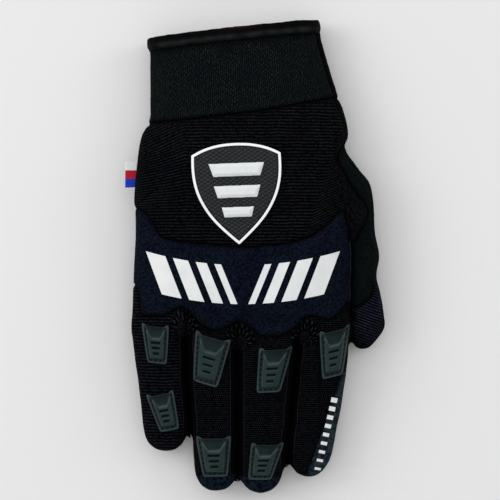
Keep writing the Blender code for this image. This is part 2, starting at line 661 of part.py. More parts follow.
def guard(plan, tree, form):
    """A moulded knuckle guard: a flange with a raised, tapering body."""
    finger = finger_named(plan.finger)
    start = finger_middle(finger, plan.run)[0] + Vector((plan.side * finger.root_width, 0, 0))
    down = Vector((sin(plan.turn), -cos(plan.turn), 0))
    side = Vector((cos(plan.tilt), sin(plan.tilt), 0))
    length = plan.length * plan.size
    half = plan.width * plan.size / 2
    spots = []
    lifts = []
    for line in GUARD_ROWS:
        narrow = half * (1 + (GUARD_TAPER - 1) * line.share)
        row = []
        heights = []
        for column in GUARD_COLUMNS:
            notched = 0 < line.share < GUARD_NOTCH_END
            notch = GUARD_NOTCH * length * (1 - abs(column.share)) if notched else 0.0
            row.append(start + down * (length * line.share + notch) + side * (narrow * column.share))
            body = (GUARD_HEIGHT - GUARD_FLANGE) * min(line.rise, column.rise)
            heights.append(SEAT_GAP + GUARD_FLANGE + body)
        spots.append(row)
        lifts.append(heights)
    name = f"guard_{plan.finger}_{plan.spot}"
    seat(patch(name, tree, spots, lifts, "guard_rubber"), form, SEAT_GAP)


def badge_point(across, run):
    """A plan point of the badge, from shares of its half width and its length."""
    x = across * BADGE_WIDTH / 2
    y = -run * BADGE_LENGTH
    turned = Vector((x * cos(BADGE_TURN) - y * sin(BADGE_TURN), x * sin(BADGE_TURN) + y * cos(BADGE_TURN), 0))
    return place(*BADGE_TOP) + turned


def badge_rim(tree, form, outline):
    """The raised white edge of the badge, with its rounded top."""
    bm = bmesh.new()
    rows = []
    for turn in RIM_PROFILE:
        line = inset(outline, BADGE_RIM_WIDTH * turn.inward)
        lift = SEAT_GAP + BADGE_RIM_HEIGHT * turn.rise
        rows.append([bm.verts.new((spot.x, spot.y, drop(tree, spot) + lift)) for spot in line])
    for near, far in zip(rows, rows[1:] + rows[:1]):
        for index in range(len(outline)):
            after = (index + 1) % len(outline)
            bm.faces.new((near[index], near[after], far[after], far[index]))
    rim = mesh_object("badge_rim", bm, GLOVE)
    rim.data.materials.append(material("badge_white"))
    seat(rim, form, SEAT_GAP)


def badge(tree, form):
    right = [badge_point(*share) for share in BADGE_HALF]
    left = [badge_point(-across, run) for across, run in BADGE_HALF[1:-1]]
    outline = anticlockwise(right + left[::-1])
    badge_rim(tree, form, outline)

    plate = bpy.data.objects.new("badge_plate", form.data.copy())
    GLOVE.objects.link(plate)
    plate.data.materials.clear()
    plate.data.materials.append(material("badge_mesh"))
    plate.data.transform(Matrix.Translation((0, 0, SEAT_GAP + BADGE_PLATE)))
    edge = inset(outline, BADGE_RIM_WIDTH + SEAM_GAP)
    boolean(plate, prism("badge_cut", edge, BADGE_LOWEST * PALM_HEIGHT, CUT_REACH, CUTTERS), "INTERSECT")
    seat(plate, form, SEAT_GAP)

    for number, bar in enumerate(BADGE_BARS, start=1):
        spots = []
        for down in BAR_ROWS:
            run = bar.run + bar.depth * down
            wide = bar.width * (1 - BAR_TAPER * down)
            spots.append([badge_point(wide * share, run) for share in BAR_COLUMNS])
        foot = SEAT_GAP + BADGE_PLATE + SEAM_GAP
        lifts = [[foot + BADGE_BAR] * len(BAR_COLUMNS) for _ in BAR_ROWS]
        seat(patch(f"badge_bar_{number}", tree, spots, lifts, "badge_white"), form, foot)


def seam_height(along):
    """The height of the long seam on the little-finger side."""
    for upper, lower in zip(SEAM_ROWS, SEAM_ROWS[1:]):
        if lower.along <= along <= upper.along:
            share = (along - lower.along) / (upper.along - lower.along)
            return (lower.left + (upper.left - lower.left) * share) * PALM_HEIGHT
    return SEAM_ROWS[0].left * PALM_HEIGHT


def side_tab():
    """The folded woven label that stands out of the side seam."""
    edge = place(*TAB_PLACE)
    bpy.ops.mesh.primitive_cube_add(size=1.0)
    made = bpy.context.object
    made.name = "side_tab"
    made.dimensions = (TAB_REACH, TAB_LENGTH, TAB_THICKNESS)
    made.location = (edge.x - TAB_REACH / 2, edge.y, seam_height(TAB_PLACE[1]))
    made.rotation_euler = (0, 0, TAB_TURN)
    bpy.ops.object.transform_apply(location=True, rotation=True, scale=True)
    rounding = made.modifiers.new("Bevel", "BEVEL")
    rounding.width = TAB_EDGE
    rounding.segments = 2
    for home in list(made.users_collection):
        home.objects.unlink(made)
    GLOVE.objects.link(made)
    made.data.materials.append(material("tab_weave"))


def centre_on_footprint():
    """Moves every solid so that the origin is the middle of the footprint, on the ground."""
    bpy.context.view_layer.update()
    graph = bpy.context.evaluated_depsgraph_get()
    spots = []
    for made in GLOVE.objects:
        mesh = made.evaluated_get(graph).data
        spots += [made.matrix_world @ vertex.co for vertex in mesh.vertices]
    low = Vector([min(spot[axis] for spot in spots) for axis in range(3)])
    high = Vector([max(spot[axis] for spot in spots) for axis in range(3)])
    middle = Vector(((low.x + high.x) / 2, (low.y + high.y) / 2, low.z))
    for made in list(GLOVE.objects) + list(CUTTERS.objects):
        made.location -= middle


for leftover in list(bpy.data.objects):
    bpy.data.objects.remove(leftover)
GLOVE = collection("motocross_glove")
CUTTERS = collection("cutters")

shell_mesh, form = whole_shell()
above = seam_sheet("above_seam", SEAM_GAP / 2, CUT_REACH)
below = seam_sheet("below_seam", -SEAM_GAP / 2, 0.0)
back_panels(shell_mesh, above)
palm_side(shell_mesh, below)
hem()
tree = BVHTree.FromPolygons([v.co for v in form.data.vertices], [p.vertices for p in form.data.polygons])
for plan in GUARDS:
    guard(plan, tree, form)
badge(tree, form)
side_tab()
centre_on_footprint()
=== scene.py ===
from collections import namedtuple
from math import cos, pi, radians, sin, tau

import bmesh
import bpy
import numpy as np
from mathutils import Matrix, Vector, noise
from mathutils.bvhtree import BVHTree
from mathutils.kdtree import KDTree


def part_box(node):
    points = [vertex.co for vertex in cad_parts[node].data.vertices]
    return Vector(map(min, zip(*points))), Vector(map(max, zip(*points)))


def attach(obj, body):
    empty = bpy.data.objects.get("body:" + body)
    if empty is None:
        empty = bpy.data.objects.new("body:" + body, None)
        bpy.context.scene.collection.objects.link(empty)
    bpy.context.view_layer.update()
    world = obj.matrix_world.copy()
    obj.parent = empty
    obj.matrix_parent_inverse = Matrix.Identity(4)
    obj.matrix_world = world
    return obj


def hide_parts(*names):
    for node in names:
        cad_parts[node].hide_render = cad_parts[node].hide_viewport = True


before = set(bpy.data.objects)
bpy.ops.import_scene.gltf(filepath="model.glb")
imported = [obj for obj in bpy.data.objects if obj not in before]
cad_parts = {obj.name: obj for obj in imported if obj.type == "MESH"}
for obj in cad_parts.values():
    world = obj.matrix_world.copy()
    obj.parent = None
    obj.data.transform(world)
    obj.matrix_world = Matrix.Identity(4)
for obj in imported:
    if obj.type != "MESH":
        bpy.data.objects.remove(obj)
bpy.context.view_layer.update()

MM = 0.001

# The photograph: a view from straight above, 500 by 500 pixels
PHOTO_SCALE = 0.48 * MM
PHOTO_MIDDLE = (250.0, 250.0)
SHEET_OFFSET = (-2.66 * MM, 3.22 * MM)

# Cloth
WALL = 1.8 * MM
SKIN_CELL = 0.8 * MM
SEAM_FILL = 0.22 * MM
SEAM_DIP = 0.55 * MM
SEAM_TURN = 1.3 * MM
SEAM_PUFF = 0.45 * MM
SEAM_SHADOW = 0.85 * MM
HEM_SHADOW = 1.7 * MM
PUFF_REACH = 7.0 * MM
SLIT_DEPTH = 3.4 * MM
SLIT_HALF = 1.7 * MM
STRIP_WIDTH = 3.0 * MM
TIP_PATCH = 8.5 * MM
SMOOTHING = 120
MOUTH_STRETCH = 9.0 * MM
KNUCKLE_LINE = -30 * MM
FINGERS_END = -50 * MM

SHELL_NODES = ["cuff_back", "cuff_palm_side", "back_rib_panel", "knuckle_panel", "finger_little", "finger_ring",
               "finger_middle", "finger_index", "thumb_suede", "thumb_knit", "palm_panel"]
FINGER_NODES = ["finger_little", "finger_ring", "finger_middle", "finger_index"]
GUARD_NODES = sorted(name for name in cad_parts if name.startswith("guard_"))
BAR_NODES = sorted(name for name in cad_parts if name.startswith("badge_bar_"))


def on_sheet(x, y):
    """The plan point, in metres, of a pixel of the photograph."""
    return Vector(((x - PHOTO_MIDDLE[0]) * PHOTO_SCALE + SHEET_OFFSET[0],
                   (PHOTO_MIDDLE[1] - y) * PHOTO_SCALE + SHEET_OFFSET[1], 0))


# Helpers

def select_only(made):
    bpy.ops.object.select_all(action="DESELECT")
    made.select_set(True)
    bpy.context.view_layer.objects.active = made


def apply_modifiers(made):
    select_only(made)
    for step in list(made.modifiers):
        bpy.ops.object.modifier_apply(modifier=step.name)


def new_object(name, mesh):
    made = bpy.data.objects.new(name, mesh)
    bpy.context.scene.collection.objects.link(made)
    return made


def points_of(mesh):
    flat = np.empty(len(mesh.vertices) * 3)
    mesh.vertices.foreach_get("co", flat)
    return flat.reshape(-1, 3)


def move_points(mesh, points):
    mesh.vertices.foreach_set("co", points.astype(np.float32).ravel())
    mesh.update()


def normals_of(mesh):
    flat = np.empty(len(mesh.vertices) * 3)
    mesh.vertex_normals.foreach_get("vector", flat)
    return flat.reshape(-1, 3)


def edges_of(mesh):
    flat = np.empty(len(mesh.edges) * 2, np.int32)
    mesh.edges.foreach_get("vertices", flat)
    return flat.reshape(-1, 2)


def neighbour_mean(points, pairs, own=0.0):
    """Each point's neighbours' mean along the given edges; a point with no edge keeps its place."""
    count = np.bincount(pairs.ravel(), minlength=len(points)) + own
    mean = np.empty_like(points)
    for axis in range(3):
        total = np.bincount(pairs[:, 0], points[pairs[:, 1], axis], len(points))
        total += np.bincount(pairs[:, 1], points[pairs[:, 0], axis], len(points))
        mean[:, axis] = np.where(count > 0, total / np.maximum(count, 1), points[:, axis])
    return mean


def relax(points, pairs, rounds, shrink=0.5, swell=-0.52, weight=1.0):
    """Smooths in pairs of steps that shrink and swell, which keeps the form's size."""
    for _ in range(rounds):
        for step in (shrink, swell):
            points = points + (neighbour_mean(points, pairs) - points) * (step * weight)
    return points


# The skin: one smooth surface over all of the cloth

def node_copy(node):
    """A node's mesh, merged, and fattened so that it meets its neighbours."""
    bm = bmesh.new()
    bm.from_mesh(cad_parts[node].data)
    bmesh.ops.remove_doubles(bm, verts=bm.verts, dist=0.01 * MM)
    bm.normal_update()
    for vertex in bm.verts:
        vertex.co += vertex.normal * SEAM_FILL
    mesh = bpy.data.meshes.new(node + "_copy")
    bm.to_mesh(mesh)
    bm.free()
    return mesh


MOUTH_ACROSS = Vector((0.994, 0.108, 0.0)).normalized()
MOUTH_OUTWARD = Vector((-MOUTH_ACROSS.y, MOUTH_ACROSS.x, 0.0))
MOUTH_EDGE = max(MOUTH_OUTWARD.dot(vertex.co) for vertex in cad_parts["cuff_back"].data.vertices)


def remesh_evenly(made, cell):
    step = made.modifiers.new("Even cells", "REMESH")
    step.mode = "VOXEL"
    step.voxel_size = cell
    step.adaptivity = 0.0
    apply_modifiers(made)


def open_mouth(made, depth):
    """Takes away what lies above the cuff's mouth, so that the skin is open there."""
    bm = bmesh.new()
    bm.from_mesh(made.data)
    rim = [vertex for vertex in bm.verts if MOUTH_OUTWARD.dot(vertex.co) > MOUTH_EDGE - depth]
    bmesh.ops.delete(bm, geom=rim, context="VERTS")
    bm.to_mesh(made.data)
    bm.free()


def outer_part(made):
    """The outermost of the loose surfaces, which is the outside of the hollow glove."""
    select_only(made)
    bpy.ops.object.mode_set(mode="EDIT")
    bpy.ops.mesh.separate(type="LOOSE")
    bpy.ops.object.mode_set(mode="OBJECT")
    found = list(bpy.context.selected_objects)
    outer = max(found, key=lambda part: part.dimensions.length)
    for part in found:
        if part is not outer:
            bpy.data.objects.remove(part)
    return outer


def shell_skin():
    """The outer surface of the glove, smooth all over and open at the cuff."""
    bm = bmesh.new()
    for node in SHELL_NODES:
        copied = node_copy(node)
        bm.from_mesh(copied)
        bpy.data.meshes.remove(copied)
    mesh = bpy.data.meshes.new("skin")
    bm.to_mesh(mesh)
    bm.free()
    made = new_object("skin", mesh)
    remesh_evenly(made, SKIN_CELL)
    open_mouth(made, 1.1 * MM)
    made = outer_part(made)

    select_only(made)
    bpy.ops.object.mode_set(mode="EDIT")
    bpy.ops.mesh.select_all(action="DESELECT")
    bpy.ops.mesh.select_non_manifold()
    bpy.ops.mesh.extrude_edges_move(TRANSFORM_OT_translate={"value": MOUTH_OUTWARD * MOUTH_STRETCH})
    bpy.ops.mesh.edge_face_add()
    bpy.ops.object.mode_set(mode="OBJECT")
    remesh_evenly(made, 2 * SKIN_CELL)
    points = points_of(made.data)
    ease = np.interp(points[:, 1], (FINGERS_END, KNUCKLE_LINE), (0.45, 1.0))
    points = relax(points, edges_of(made.data), SMOOTHING, weight=ease[:, None])
    move_points(made.data, points)
    move_points(made.data, points - normals_of(made.data) * SEAM_FILL)
    open_mouth(made, 1.2 * MM)
    rounding = made.modifiers.new("Rounding", "SUBSURF")
    rounding.levels = 1
    rounding.render_levels = 1
    apply_modifiers(made)
    made.name = "skin"
    return made


skin = shell_skin()


# Seams: where the panels of the skin meet

def panel_numbers(made):
    """The number of the panel that each face of the skin lies on, from the nearest face of the frame's shell."""
    corners = []
    faces = []
    owners = []
    for number, node in enumerate(SHELL_NODES):
        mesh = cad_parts[node].data
        start = len(corners)
        corners += [vertex.co for vertex in mesh.vertices]
        faces += [[start + corner for corner in face.vertices] for face in mesh.polygons]
        owners += [number] * len(mesh.polygons)
    tree = BVHTree.FromPolygons(corners, faces)
    return np.array([owners[tree.find_nearest(face.center)[2]] for face in made.data.polygons])


def face_pairs(mesh):
    """For each edge inside the skin, its number and the two faces beside it."""
    edge = np.empty(len(mesh.loops), np.int32)
    mesh.loops.foreach_get("edge_index", edge)
    sides = np.empty(len(mesh.polygons), np.int32)
    mesh.polygons.foreach_get("loop_total", sides)
    face = np.repeat(np.arange(len(mesh.polygons)), sides)
    order = np.argsort(edge, kind="stable")
    edge = edge[order]
    face = face[order]
    shared = np.nonzero(edge[1:] == edge[:-1])[0]
    return edge[shared], face[shared], face[shared + 1]


def settle(numbers, near, far, rounds=4):
    """Gives a face that few of its neighbours agree with the number that most of them have."""
    for _ in range(rounds):
        votes = np.zeros((len(numbers), len(SHELL_NODES)), np.int32)
        np.add.at(votes, (near, numbers[far]), 1)
        np.add.at(votes, (far, numbers[near]), 1)
        alone = votes[np.arange(len(numbers)), numbers] < 2
        numbers = np.where(alone, votes.argmax(axis=1), numbers)
    return numbers


def tree_over(spots):
    tree = KDTree(len(spots))
    for number, spot in enumerate(spots):
        tree.insert(spot, number)
    tree.balance()
    return tree


def distances(tree, points):
    return np.array([tree.find(spot)[2] for spot in points])


mesh = skin.data
numbers = panel_numbers(skin)
inside_edges, near_face, far_face = face_pairs(mesh)
numbers = settle(numbers, near_face, far_face)
on_seam = numbers[near_face] != numbers[far_face]
skin_edges = edges_of(mesh)
seam_edges = skin_edges[inside_edges[on_seam]]
seam_sides = np.sort(np.stack([numbers[near_face[on_seam]], numbers[far_face[on_seam]]], axis=1), axis=1)
edge_use = np.bincount(inside_edges, minlength=len(skin_edges))
mouth_points = np.unique(skin_edges[edge_use == 0])

points = points_of(mesh)
outward = np.array(MOUTH_OUTWARD)
points[mouth_points] += np.outer(MOUTH_EDGE - 0.1 * MM - points[mouth_points] @ outward, outward)
seam_count = np.bincount(seam_edges.ravel(), minlength=len(points))
free = (seam_count == 2)[:, None].astype(float)
free[mouth_points] = 0.0
points = relax(points, seam_edges, 25, weight=free)
seam_points = np.nonzero(seam_count)[0]
seam_tree = tree_over(points[seam_points])
seam_distance = distances(seam_tree, points)
give = np.exp(-(seam_distance / (2.4 * MM)) ** 2)
give[seam_points] = 0.0
give[mouth_points] = 0.0
points = relax(points, skin_edges, 5, swell=0.0, weight=give[:, None])
move_points(mesh, points)

finger_numbers = [SHELL_NODES.index(node) for node in FINGER_NODES]
is_slit = np.isin(seam_sides, finger_numbers).all(axis=1)
slit_points = np.unique(seam_edges[is_slit])


# Soft relief of the skin, made by moving its points along their normals

Fold = namedtuple("Fold", "x0 y0 x1 y1 half depth")
FOLDS = [
    Fold(343, 146, 314, 194, 5.0, 1.3),
    Fold(336, 150, 303, 205, 7.0, -0.5),
    Fold(150, 132, 215, 128, 5.0, 0.4),
    Fold(300, 112, 336, 104, 5.0, 0.5),
    Fold(150, 226, 190, 250, 6.0, 0.3),
    Fold(318, 236, 346, 222, 6.0, 0.4),
    Fold(200, 306, 228, 312, 6.0, 0.35),
    Fold(258, 322, 292, 322, 6.0, 0.35),
    Fold(196, 400, 232, 404, 5.0, 0.45),
    Fold(246, 402, 286, 400, 5.0, 0.45),
    Fold(196, 417, 230, 413, 4.0, 0.30),
    Fold(248, 418, 284, 420, 4.0, 0.30),
    Fold(146, 378, 184, 376, 4.0, 0.40),
    Fold(296, 398, 330, 394, 5.0, 0.45),
    Fold(298, 424, 326, 416, 5.0, 0.35),
    Fold(350, 262, 372, 258, 4.0, 0.6),
    Fold(352, 236, 374, 230, 5.0, 0.4),
    Fold(352, 316, 380, 322, 4.0, 0.35),
    Fold(352, 206, 362, 244, 4.0, -0.5),
    Fold(349.5, 156, 358, 188, 1.8, 0.5),
]
Gather = namedtuple("Gather", "x y across down rise")
GATHERS = [Gather(185.0, 329.0, 14.5, 21.0, 1.6), Gather(240.8, 343.0, 15.5, 21.0, 1.6),
           Gather(305.0, 338.0, 15.0, 21.0, 1.6)]
Notch = namedtuple("Notch", "x y half depth")
NOTCHES = [Notch(344.0, 145.0, 5.0, 1.5)]
OVERLAPS = [("cuff_back", "back_rib_panel", 0.55), ("cuff_palm_side", "palm_panel", 0.35),
            ("back_rib_panel", "knuckle_panel", 0.25), ("knuckle_panel", "finger_little", 0.5),
            ("knuckle_panel", "finger_ring", 0.5), ("knuckle_panel", "finger_middle", 0.5),
            ("knuckle_panel", "finger_index", 0.5), ("thumb_suede", "thumb_knit", 0.3)]
OVERLAP_REACH = 1.7 * MM


def along_fold(fold, plan):
    """How close each plan point lies to a fold's line: 1 on it, 0 far away."""
    start = np.array(on_sheet(fold.x0, fold.y0))[:2]
    end = np.array(on_sheet(fold.x1, fold.y1))[:2]
    run = end - start
    share = np.clip((plan - start) @ run / (run @ run), 0, 1)
    away = np.linalg.norm(plan - start - share[:, None] * run, axis=1)
    ends = np.sin(pi * np.clip(share, 0.08, 0.92)) ** 0.5
    return np.exp(-(away / (fold.half * PHOTO_SCALE)) ** 2) * ends


def at_gather(gather, plan):
    """Each plan point seen from a gather's foot: its turn round the foot, and its share of the way to the rim."""
    foot = np.array(on_sheet(gather.x, gather.y))[:2]
    x = (plan[:, 0] - foot[0]) / (gather.across * PHOTO_SCALE)
    y = (plan[:, 1] - foot[1]) / (gather.down * PHOTO_SCALE)
    return np.arctan2(x, np.maximum(y, -0.3)), np.hypot(x, y) + np.where(y < 0, -2 * y, 0)


def outside_gathers(plan):
    """0 inside a gather, 1 outside all of them."""
    reach = np.min([at_gather(gather, plan)[1] for gather in GATHERS], axis=0)
    return np.clip((reach - 0.95) / 0.15, 0, 1)


def overlap_rise(points):
    """Along some seams one panel's edge lies over the other's."""
    rise = np.zeros(len(points))
    for upper, lower, height in OVERLAPS:
        pair = sorted((SHELL_NODES.index(upper), SHELL_NODES.index(lower)))
        shared = np.unique(seam_edges[(seam_sides == pair).all(axis=1)])
        if len(shared):
            near = np.exp(-(distances(tree_over(points[shared]), points) / OVERLAP_REACH) ** 2)
            rise += height * MM * near * (panel_share[:, SHELL_NODES.index(upper)] * 1.6 - 0.8)
    return rise


def soft_noise(points, size, seed):
    shift = Vector((seed * 7.31, seed * 3.17, seed * 5.77))
    return np.array([noise.noise(Vector(spot) / size + shift) for spot in points])


points = points_of(mesh)
normals = normals_of(mesh)
plan = points[:, :2]
panel_share = np.zeros((len(points), len(SHELL_NODES)))
for face, number in zip(mesh.polygons, numbers):
    panel_share[list(face.vertices), number] += 1
panel_share /= np.maximum(panel_share.sum(axis=1, keepdims=True), 1)
seam_tree = tree_over(points[seam_points])
seam_distance = distances(seam_tree, points)
flat_slit = np.concatenate([plan[slit_points], np.zeros((len(slit_points), 1))], axis=1)
slit_tree = tree_over(flat_slit)
slit_distance = distances(slit_tree, np.concatenate([plan, np.zeros((len(plan), 1))], axis=1))
resting = np.clip((points[:, 2] - 0.4 * MM) / (3.0 * MM), 0, 1)

rise = SEAM_PUFF * (0.55 - np.exp(-(seam_distance / PUFF_REACH) ** 2))
rise -= SEAM_DIP * np.exp(-(seam_distance / SEAM_TURN) ** 2)
facing_up = np.clip(normals[:, 2] * 3, 0, 1)
for fold in FOLDS:
    rise -= fold.depth * MM * along_fold(fold, plan) * facing_up
for gather in GATHERS:
    turn, reach = at_gather(gather, plan)
    dome = np.clip(1 - reach ** 2, 0, 1) ** 0.6
    pleats = 0.30 * np.cos(turn * 13) * np.clip(reach * 1.4 - 0.3, 0, 1)
    rise += gather.rise * MM * dome * (1 + pleats) * facing_up
for notch in NOTCHES:
    away = np.linalg.norm(plan - np.array(on_sheet(notch.x, notch.y))[:2], axis=1)
    rise -= notch.depth * MM * np.exp(-(away / (notch.half * PHOTO_SCALE)) ** 2) * (1 - facing_up)
rise += overlap_rise(points)
rise += 0.35 * MM * soft_noise(points, 17 * MM, 1)
rise += 0.12 * MM * soft_noise(points, 6 * MM, 2)
points = points + normals * (rise * resting)[:, None]
slit = np.exp(-(slit_distance / SLIT_HALF) ** 2) * np.clip(points[:, 2] / (9 * MM), 0, 1) * outside_gathers(plan)
points[:, 2] -= SLIT_DEPTH * slit * facing_up
points[:, 2] = np.maximum(points[:, 2], 0.0)
move_points(mesh, points)

# Painted shade: the 'seam' attribute marks where the cloth is darkened beside its seams and under the hem's edge,
# where shadow falls.
seam_shade_mark = mesh.attributes.new("seam", "FLOAT", "POINT")
below_mouth = MOUTH_EDGE - points @ outward
shadow = np.maximum(np.exp(-(seam_distance / SEAM_SHADOW) ** 2), np.exp(-(below_mouth / HEM_SHADOW) ** 2))
seam_shade_mark.data.foreach_set("value", shadow.astype(np.float32))

skin_tree = BVHTree.FromPolygons([Vector(spot) for spot in points], [face.vertices for face in mesh.polygons])
skin_normals = normals_of(mesh)
skin_points = points_of(mesh)
skin_finder = tree_over(skin_points)


def ground(x, y):
    """The height of the skin under a plan point."""
    hit = skin_tree.ray_cast(Vector((x, y, 0.1)), Vector((0, 0, -1)))
    return hit[0].z if hit[0] else 0.0


# Shader groups

def shader_group(name, inputs, outputs):
    """A node group with named sockets, and the nodes that carry them."""
    group = bpy.data.node_groups.new(name, "ShaderNodeTree")
    for socket, kind, value in inputs:
        made = group.interface.new_socket(socket, in_out="INPUT", socket_type=kind)
        made.default_value = value
    for socket, kind in outputs:
        group.interface.new_socket(socket, in_out="OUTPUT", socket_type=kind)
    return group, group.nodes.new("NodeGroupInput"), group.nodes.new("NodeGroupOutput")


class Wires:
    """Adds nodes to a tree and joins them."""

    def __init__(self, tree):
        self.tree = tree

    def join(self, source, target):
        self.tree.links.new(source, target)

    def add(self, kind, **settings):
        node = self.tree.nodes.new(kind)
        for name, value in settings.items():
            setattr(node, name, value)
        return node

    def math(self, operation, first, second=None, third=None):
        node = self.add("ShaderNodeMath", operation=operation)
        for socket, value in zip(node.inputs, (first, second, third)):
            if value is None:
                continue
            if isinstance(value, (int, float)):
                socket.default_value = value
            else:
                self.join(value, socket)
        return node.outputs[0]

    def noise(self, vector, scale, detail=2.0, roughness=0.5):
        node = self.add("ShaderNodeTexNoise")
        node.inputs["Scale"].default_value = scale
        node.inputs["Detail"].default_value = detail
        node.inputs["Roughness"].default_value = roughness
        self.join(vector, node.inputs["Vector"])
        return node.outputs["Fac"]

    def spread(self, value, low, high, to_low=0.0, to_high=1.0):
        node = self.add("ShaderNodeMapRange")
        self.join(value, node.inputs["Value"])
        for name, number in (("From Min", low), ("From Max", high), ("To Min", to_low), ("To Max", to_high)):
            node.inputs[name].default_value = number
        return node.outputs["Result"]

    def mix_colour(self, share, first, second):
        node = self.add("ShaderNodeMix", data_type="RGBA")
        for socket, value in ((node.inputs[0], share), (node.inputs[6], first), (node.inputs[7], second)):
            if isinstance(value, (int, float)):
                socket.default_value = value
            elif isinstance(value, tuple):
                socket.default_value = (*value, 1.0)
            else:
                self.join(value, socket)
        return node.outputs[2]

    def blend(self, share, first, second):
        """A number between two others."""
        node = self.add("ShaderNodeMix", data_type="FLOAT")
        for socket, value in ((node.inputs[0], share), (node.inputs[2], first), (node.inputs[3], second)):
            if isinstance(value, (int, float)):
                socket.default_value = value
            else:
                self.join(value, socket)
        return node.outputs[0]


def rib_group():
    """Rounded ribs across a coordinate, broken up by a second set and by the yarn's unevenness; one output is the mask
    of a painted highlight on the rib tops.
    """
    group, entry, leave = shader_group(
        "knit ribs",
        [("Across", "NodeSocketFloat", 0.0), ("Along", "NodeSocketFloat", 0.0), ("Pitch", "NodeSocketFloat", 0.002),
         ("Stitch Pitch", "NodeSocketFloat", 0.0012), ("Stitch Share", "NodeSocketFloat", 0.3),
         ("Waver", "NodeSocketFloat", 0.35)],
        [("Height", "NodeSocketFloat"), ("Crest Highlight", "NodeSocketFloat")])
    wires = Wires(group)
    place = wires.add("ShaderNodeTexCoord").outputs["Object"]
    waver = wires.math("MULTIPLY", wires.spread(wires.noise(place, 160.0), 0.0, 1.0, -1.0, 1.0),
                       entry.outputs["Waver"])
    turns = wires.math("DIVIDE", entry.outputs["Across"], entry.outputs["Pitch"])
    turns = wires.math("ADD", turns, waver)
    rib = wires.math("ABSOLUTE", wires.math("SINE", wires.math("MULTIPLY", turns, pi)))
    rib = wires.math("POWER", rib, 0.7)
    slip = wires.math("MULTIPLY", wires.spread(wires.noise(place, 380.0), 0.0, 1.0, -0.8, 0.8),
                      entry.outputs["Waver"])
    steps = wires.math("DIVIDE", entry.outputs["Along"], entry.outputs["Stitch Pitch"])
    steps = wires.math("ADD", steps, slip)
    row = wires.math("MULTIPLY", wires.math("FLOOR", turns), 0.5)
    yarn = wires.math("ABSOLUTE", wires.math("SINE", wires.math("MULTIPLY", wires.math("ADD", steps, row), pi)))
    fuzz = wires.noise(place, 2600.0, 3.0, 0.7)
    knit = wires.blend(entry.outputs["Stitch Share"], rib, wires.math("MULTIPLY", rib, yarn))
    wires.join(wires.math("MULTIPLY_ADD", fuzz, 0.35, knit), leave.inputs["Height"])
    uneven = wires.spread(wires.noise(place, 700.0, 2.0), 0.3, 0.7, 0.15, 1.5)
    wires.join(wires.math("MULTIPLY", wires.spread(knit, 0.58, 0.99), uneven), leave.inputs["Crest Highlight"])
    return group


def nap_group():
    """Short brushed fibres and cloudy patches, for suede and brushed cloth."""
    group, entry, leave = shader_group(
        "brushed nap",
        [("Fibre Scale", "NodeSocketFloat", 1500.0), ("Patch Scale", "NodeSocketFloat", 90.0)],
        [("Height", "NodeSocketFloat"), ("Patch", "NodeSocketFloat"), ("Fibre", "NodeSocketFloat")])
    wires = Wires(group)
    place = wires.add("ShaderNodeTexCoord").outputs["Object"]
    fibre = wires.add("ShaderNodeTexNoise")
    fibre.inputs["Detail"].default_value = 4.0
    fibre.inputs["Roughness"].default_value = 0.75
    wires.join(place, fibre.inputs["Vector"])
    wires.join(entry.outputs["Fibre Scale"], fibre.inputs["Scale"])
    patch = wires.add("ShaderNodeTexNoise")
    patch.inputs["Detail"].default_value = 3.0
    patch.inputs["Distortion"].default_value = 0.6
    wires.join(place, patch.inputs["Vector"])
    wires.join(entry.outputs["Patch Scale"], patch.inputs["Scale"])
    wires.join(wires.math("MULTIPLY_ADD", patch.outputs["Fac"], 0.4, fibre.outputs["Fac"]), leave.inputs["Height"])
    wires.join(wires.spread(patch.outputs["Fac"], 0.35, 0.65), leave.inputs["Patch"])
    wires.join(wires.spread(fibre.outputs["Fac"], 0.3, 0.7), leave.inputs["Fibre"])
    return group


# Near black: the colour of painted shade beside seams, and of the dark random mottle on strips and brushed cloth.
SHADE_AND_MOTTLE_DARK = (0.0001, 0.0001, 0.0002)
# Near black strips beside the gaps between fingers: partly the strips' own dark cloth, partly painted shade of the
# gap.
SIDE_STRIP_AND_GAP_SHADE = (0.0003, 0.0003, 0.0006)
TIP_STRIP = (0.0060, 0.0115, 0.0200)
# Painted sheen on the index finger's outer flank, over its navy cloth.
LIT_STRIP = (0.0200, 0.0330, 0.0420)
RIB_PITCH = 1.52 * MM
THUMB_RIB_PITCH = 1.36 * MM
THUMB_RIB_RISE = 0.26 * MM
KNIT_RIBS = rib_group()
BRUSHED_NAP = nap_group()


# Materials

def cloth_base(name, roughness, sheen, sheen_roughness=0.45):
    """A material with its shader set for cloth."""
    made = bpy.data.materials.new(name)
    made.use_nodes = True
    wires = Wires(made.node_tree)
    shader = made.node_tree.nodes["Principled BSDF"]
    shader.inputs["Roughness"].default_value = roughness
    shader.inputs["Sheen Weight"].default_value = sheen
    shader.inputs["Sheen Roughness"].default_value = sheen_roughness
    shader.inputs["Specular IOR Level"].default_value = 0.012
    return made, wires, shader


def grouped(wires, group, **values):
    node = wires.add("ShaderNodeGroup", node_tree=group)
    for name, value in values.items():
        socket = node.inputs[name.replace("_", " ")]
        if isinstance(value, (int, float)):
            socket.default_value = value
        else:
            wires.join(value, socket)
    return node


def bump(wires, shader, height, distance, strength=1.0):
    node = wires.add("ShaderNodeBump")
    node.inputs["Strength"].default_value = strength
    node.inputs["Distance"].default_value = distance
    wires.join(height, node.inputs["Height"])
    wires.join(node.outputs["Normal"], shader.inputs["Normal"])


def lay_of(wires):
    """The cloth's own coordinates across and along, in metres, and its third value."""
    attribute = wires.add("ShaderNodeAttribute", attribute_name="lay")
    parts = wires.add("ShaderNodeSeparateXYZ")
    wires.join(attribute.outputs["Vector"], parts.inputs[0])
    return parts.outputs


def seam_shaded(wires, colour):
    """The cloth's colour, with painted shade darkening it in the creases beside its seams and under the hem."""
    beside = wires.add("ShaderNodeAttribute", attribute_name="seam").outputs["Fac"]
    return wires.mix_colour(wires.math("MULTIPLY", beside, 0.85), colour, SHADE_AND_MOTTLE_DARK)


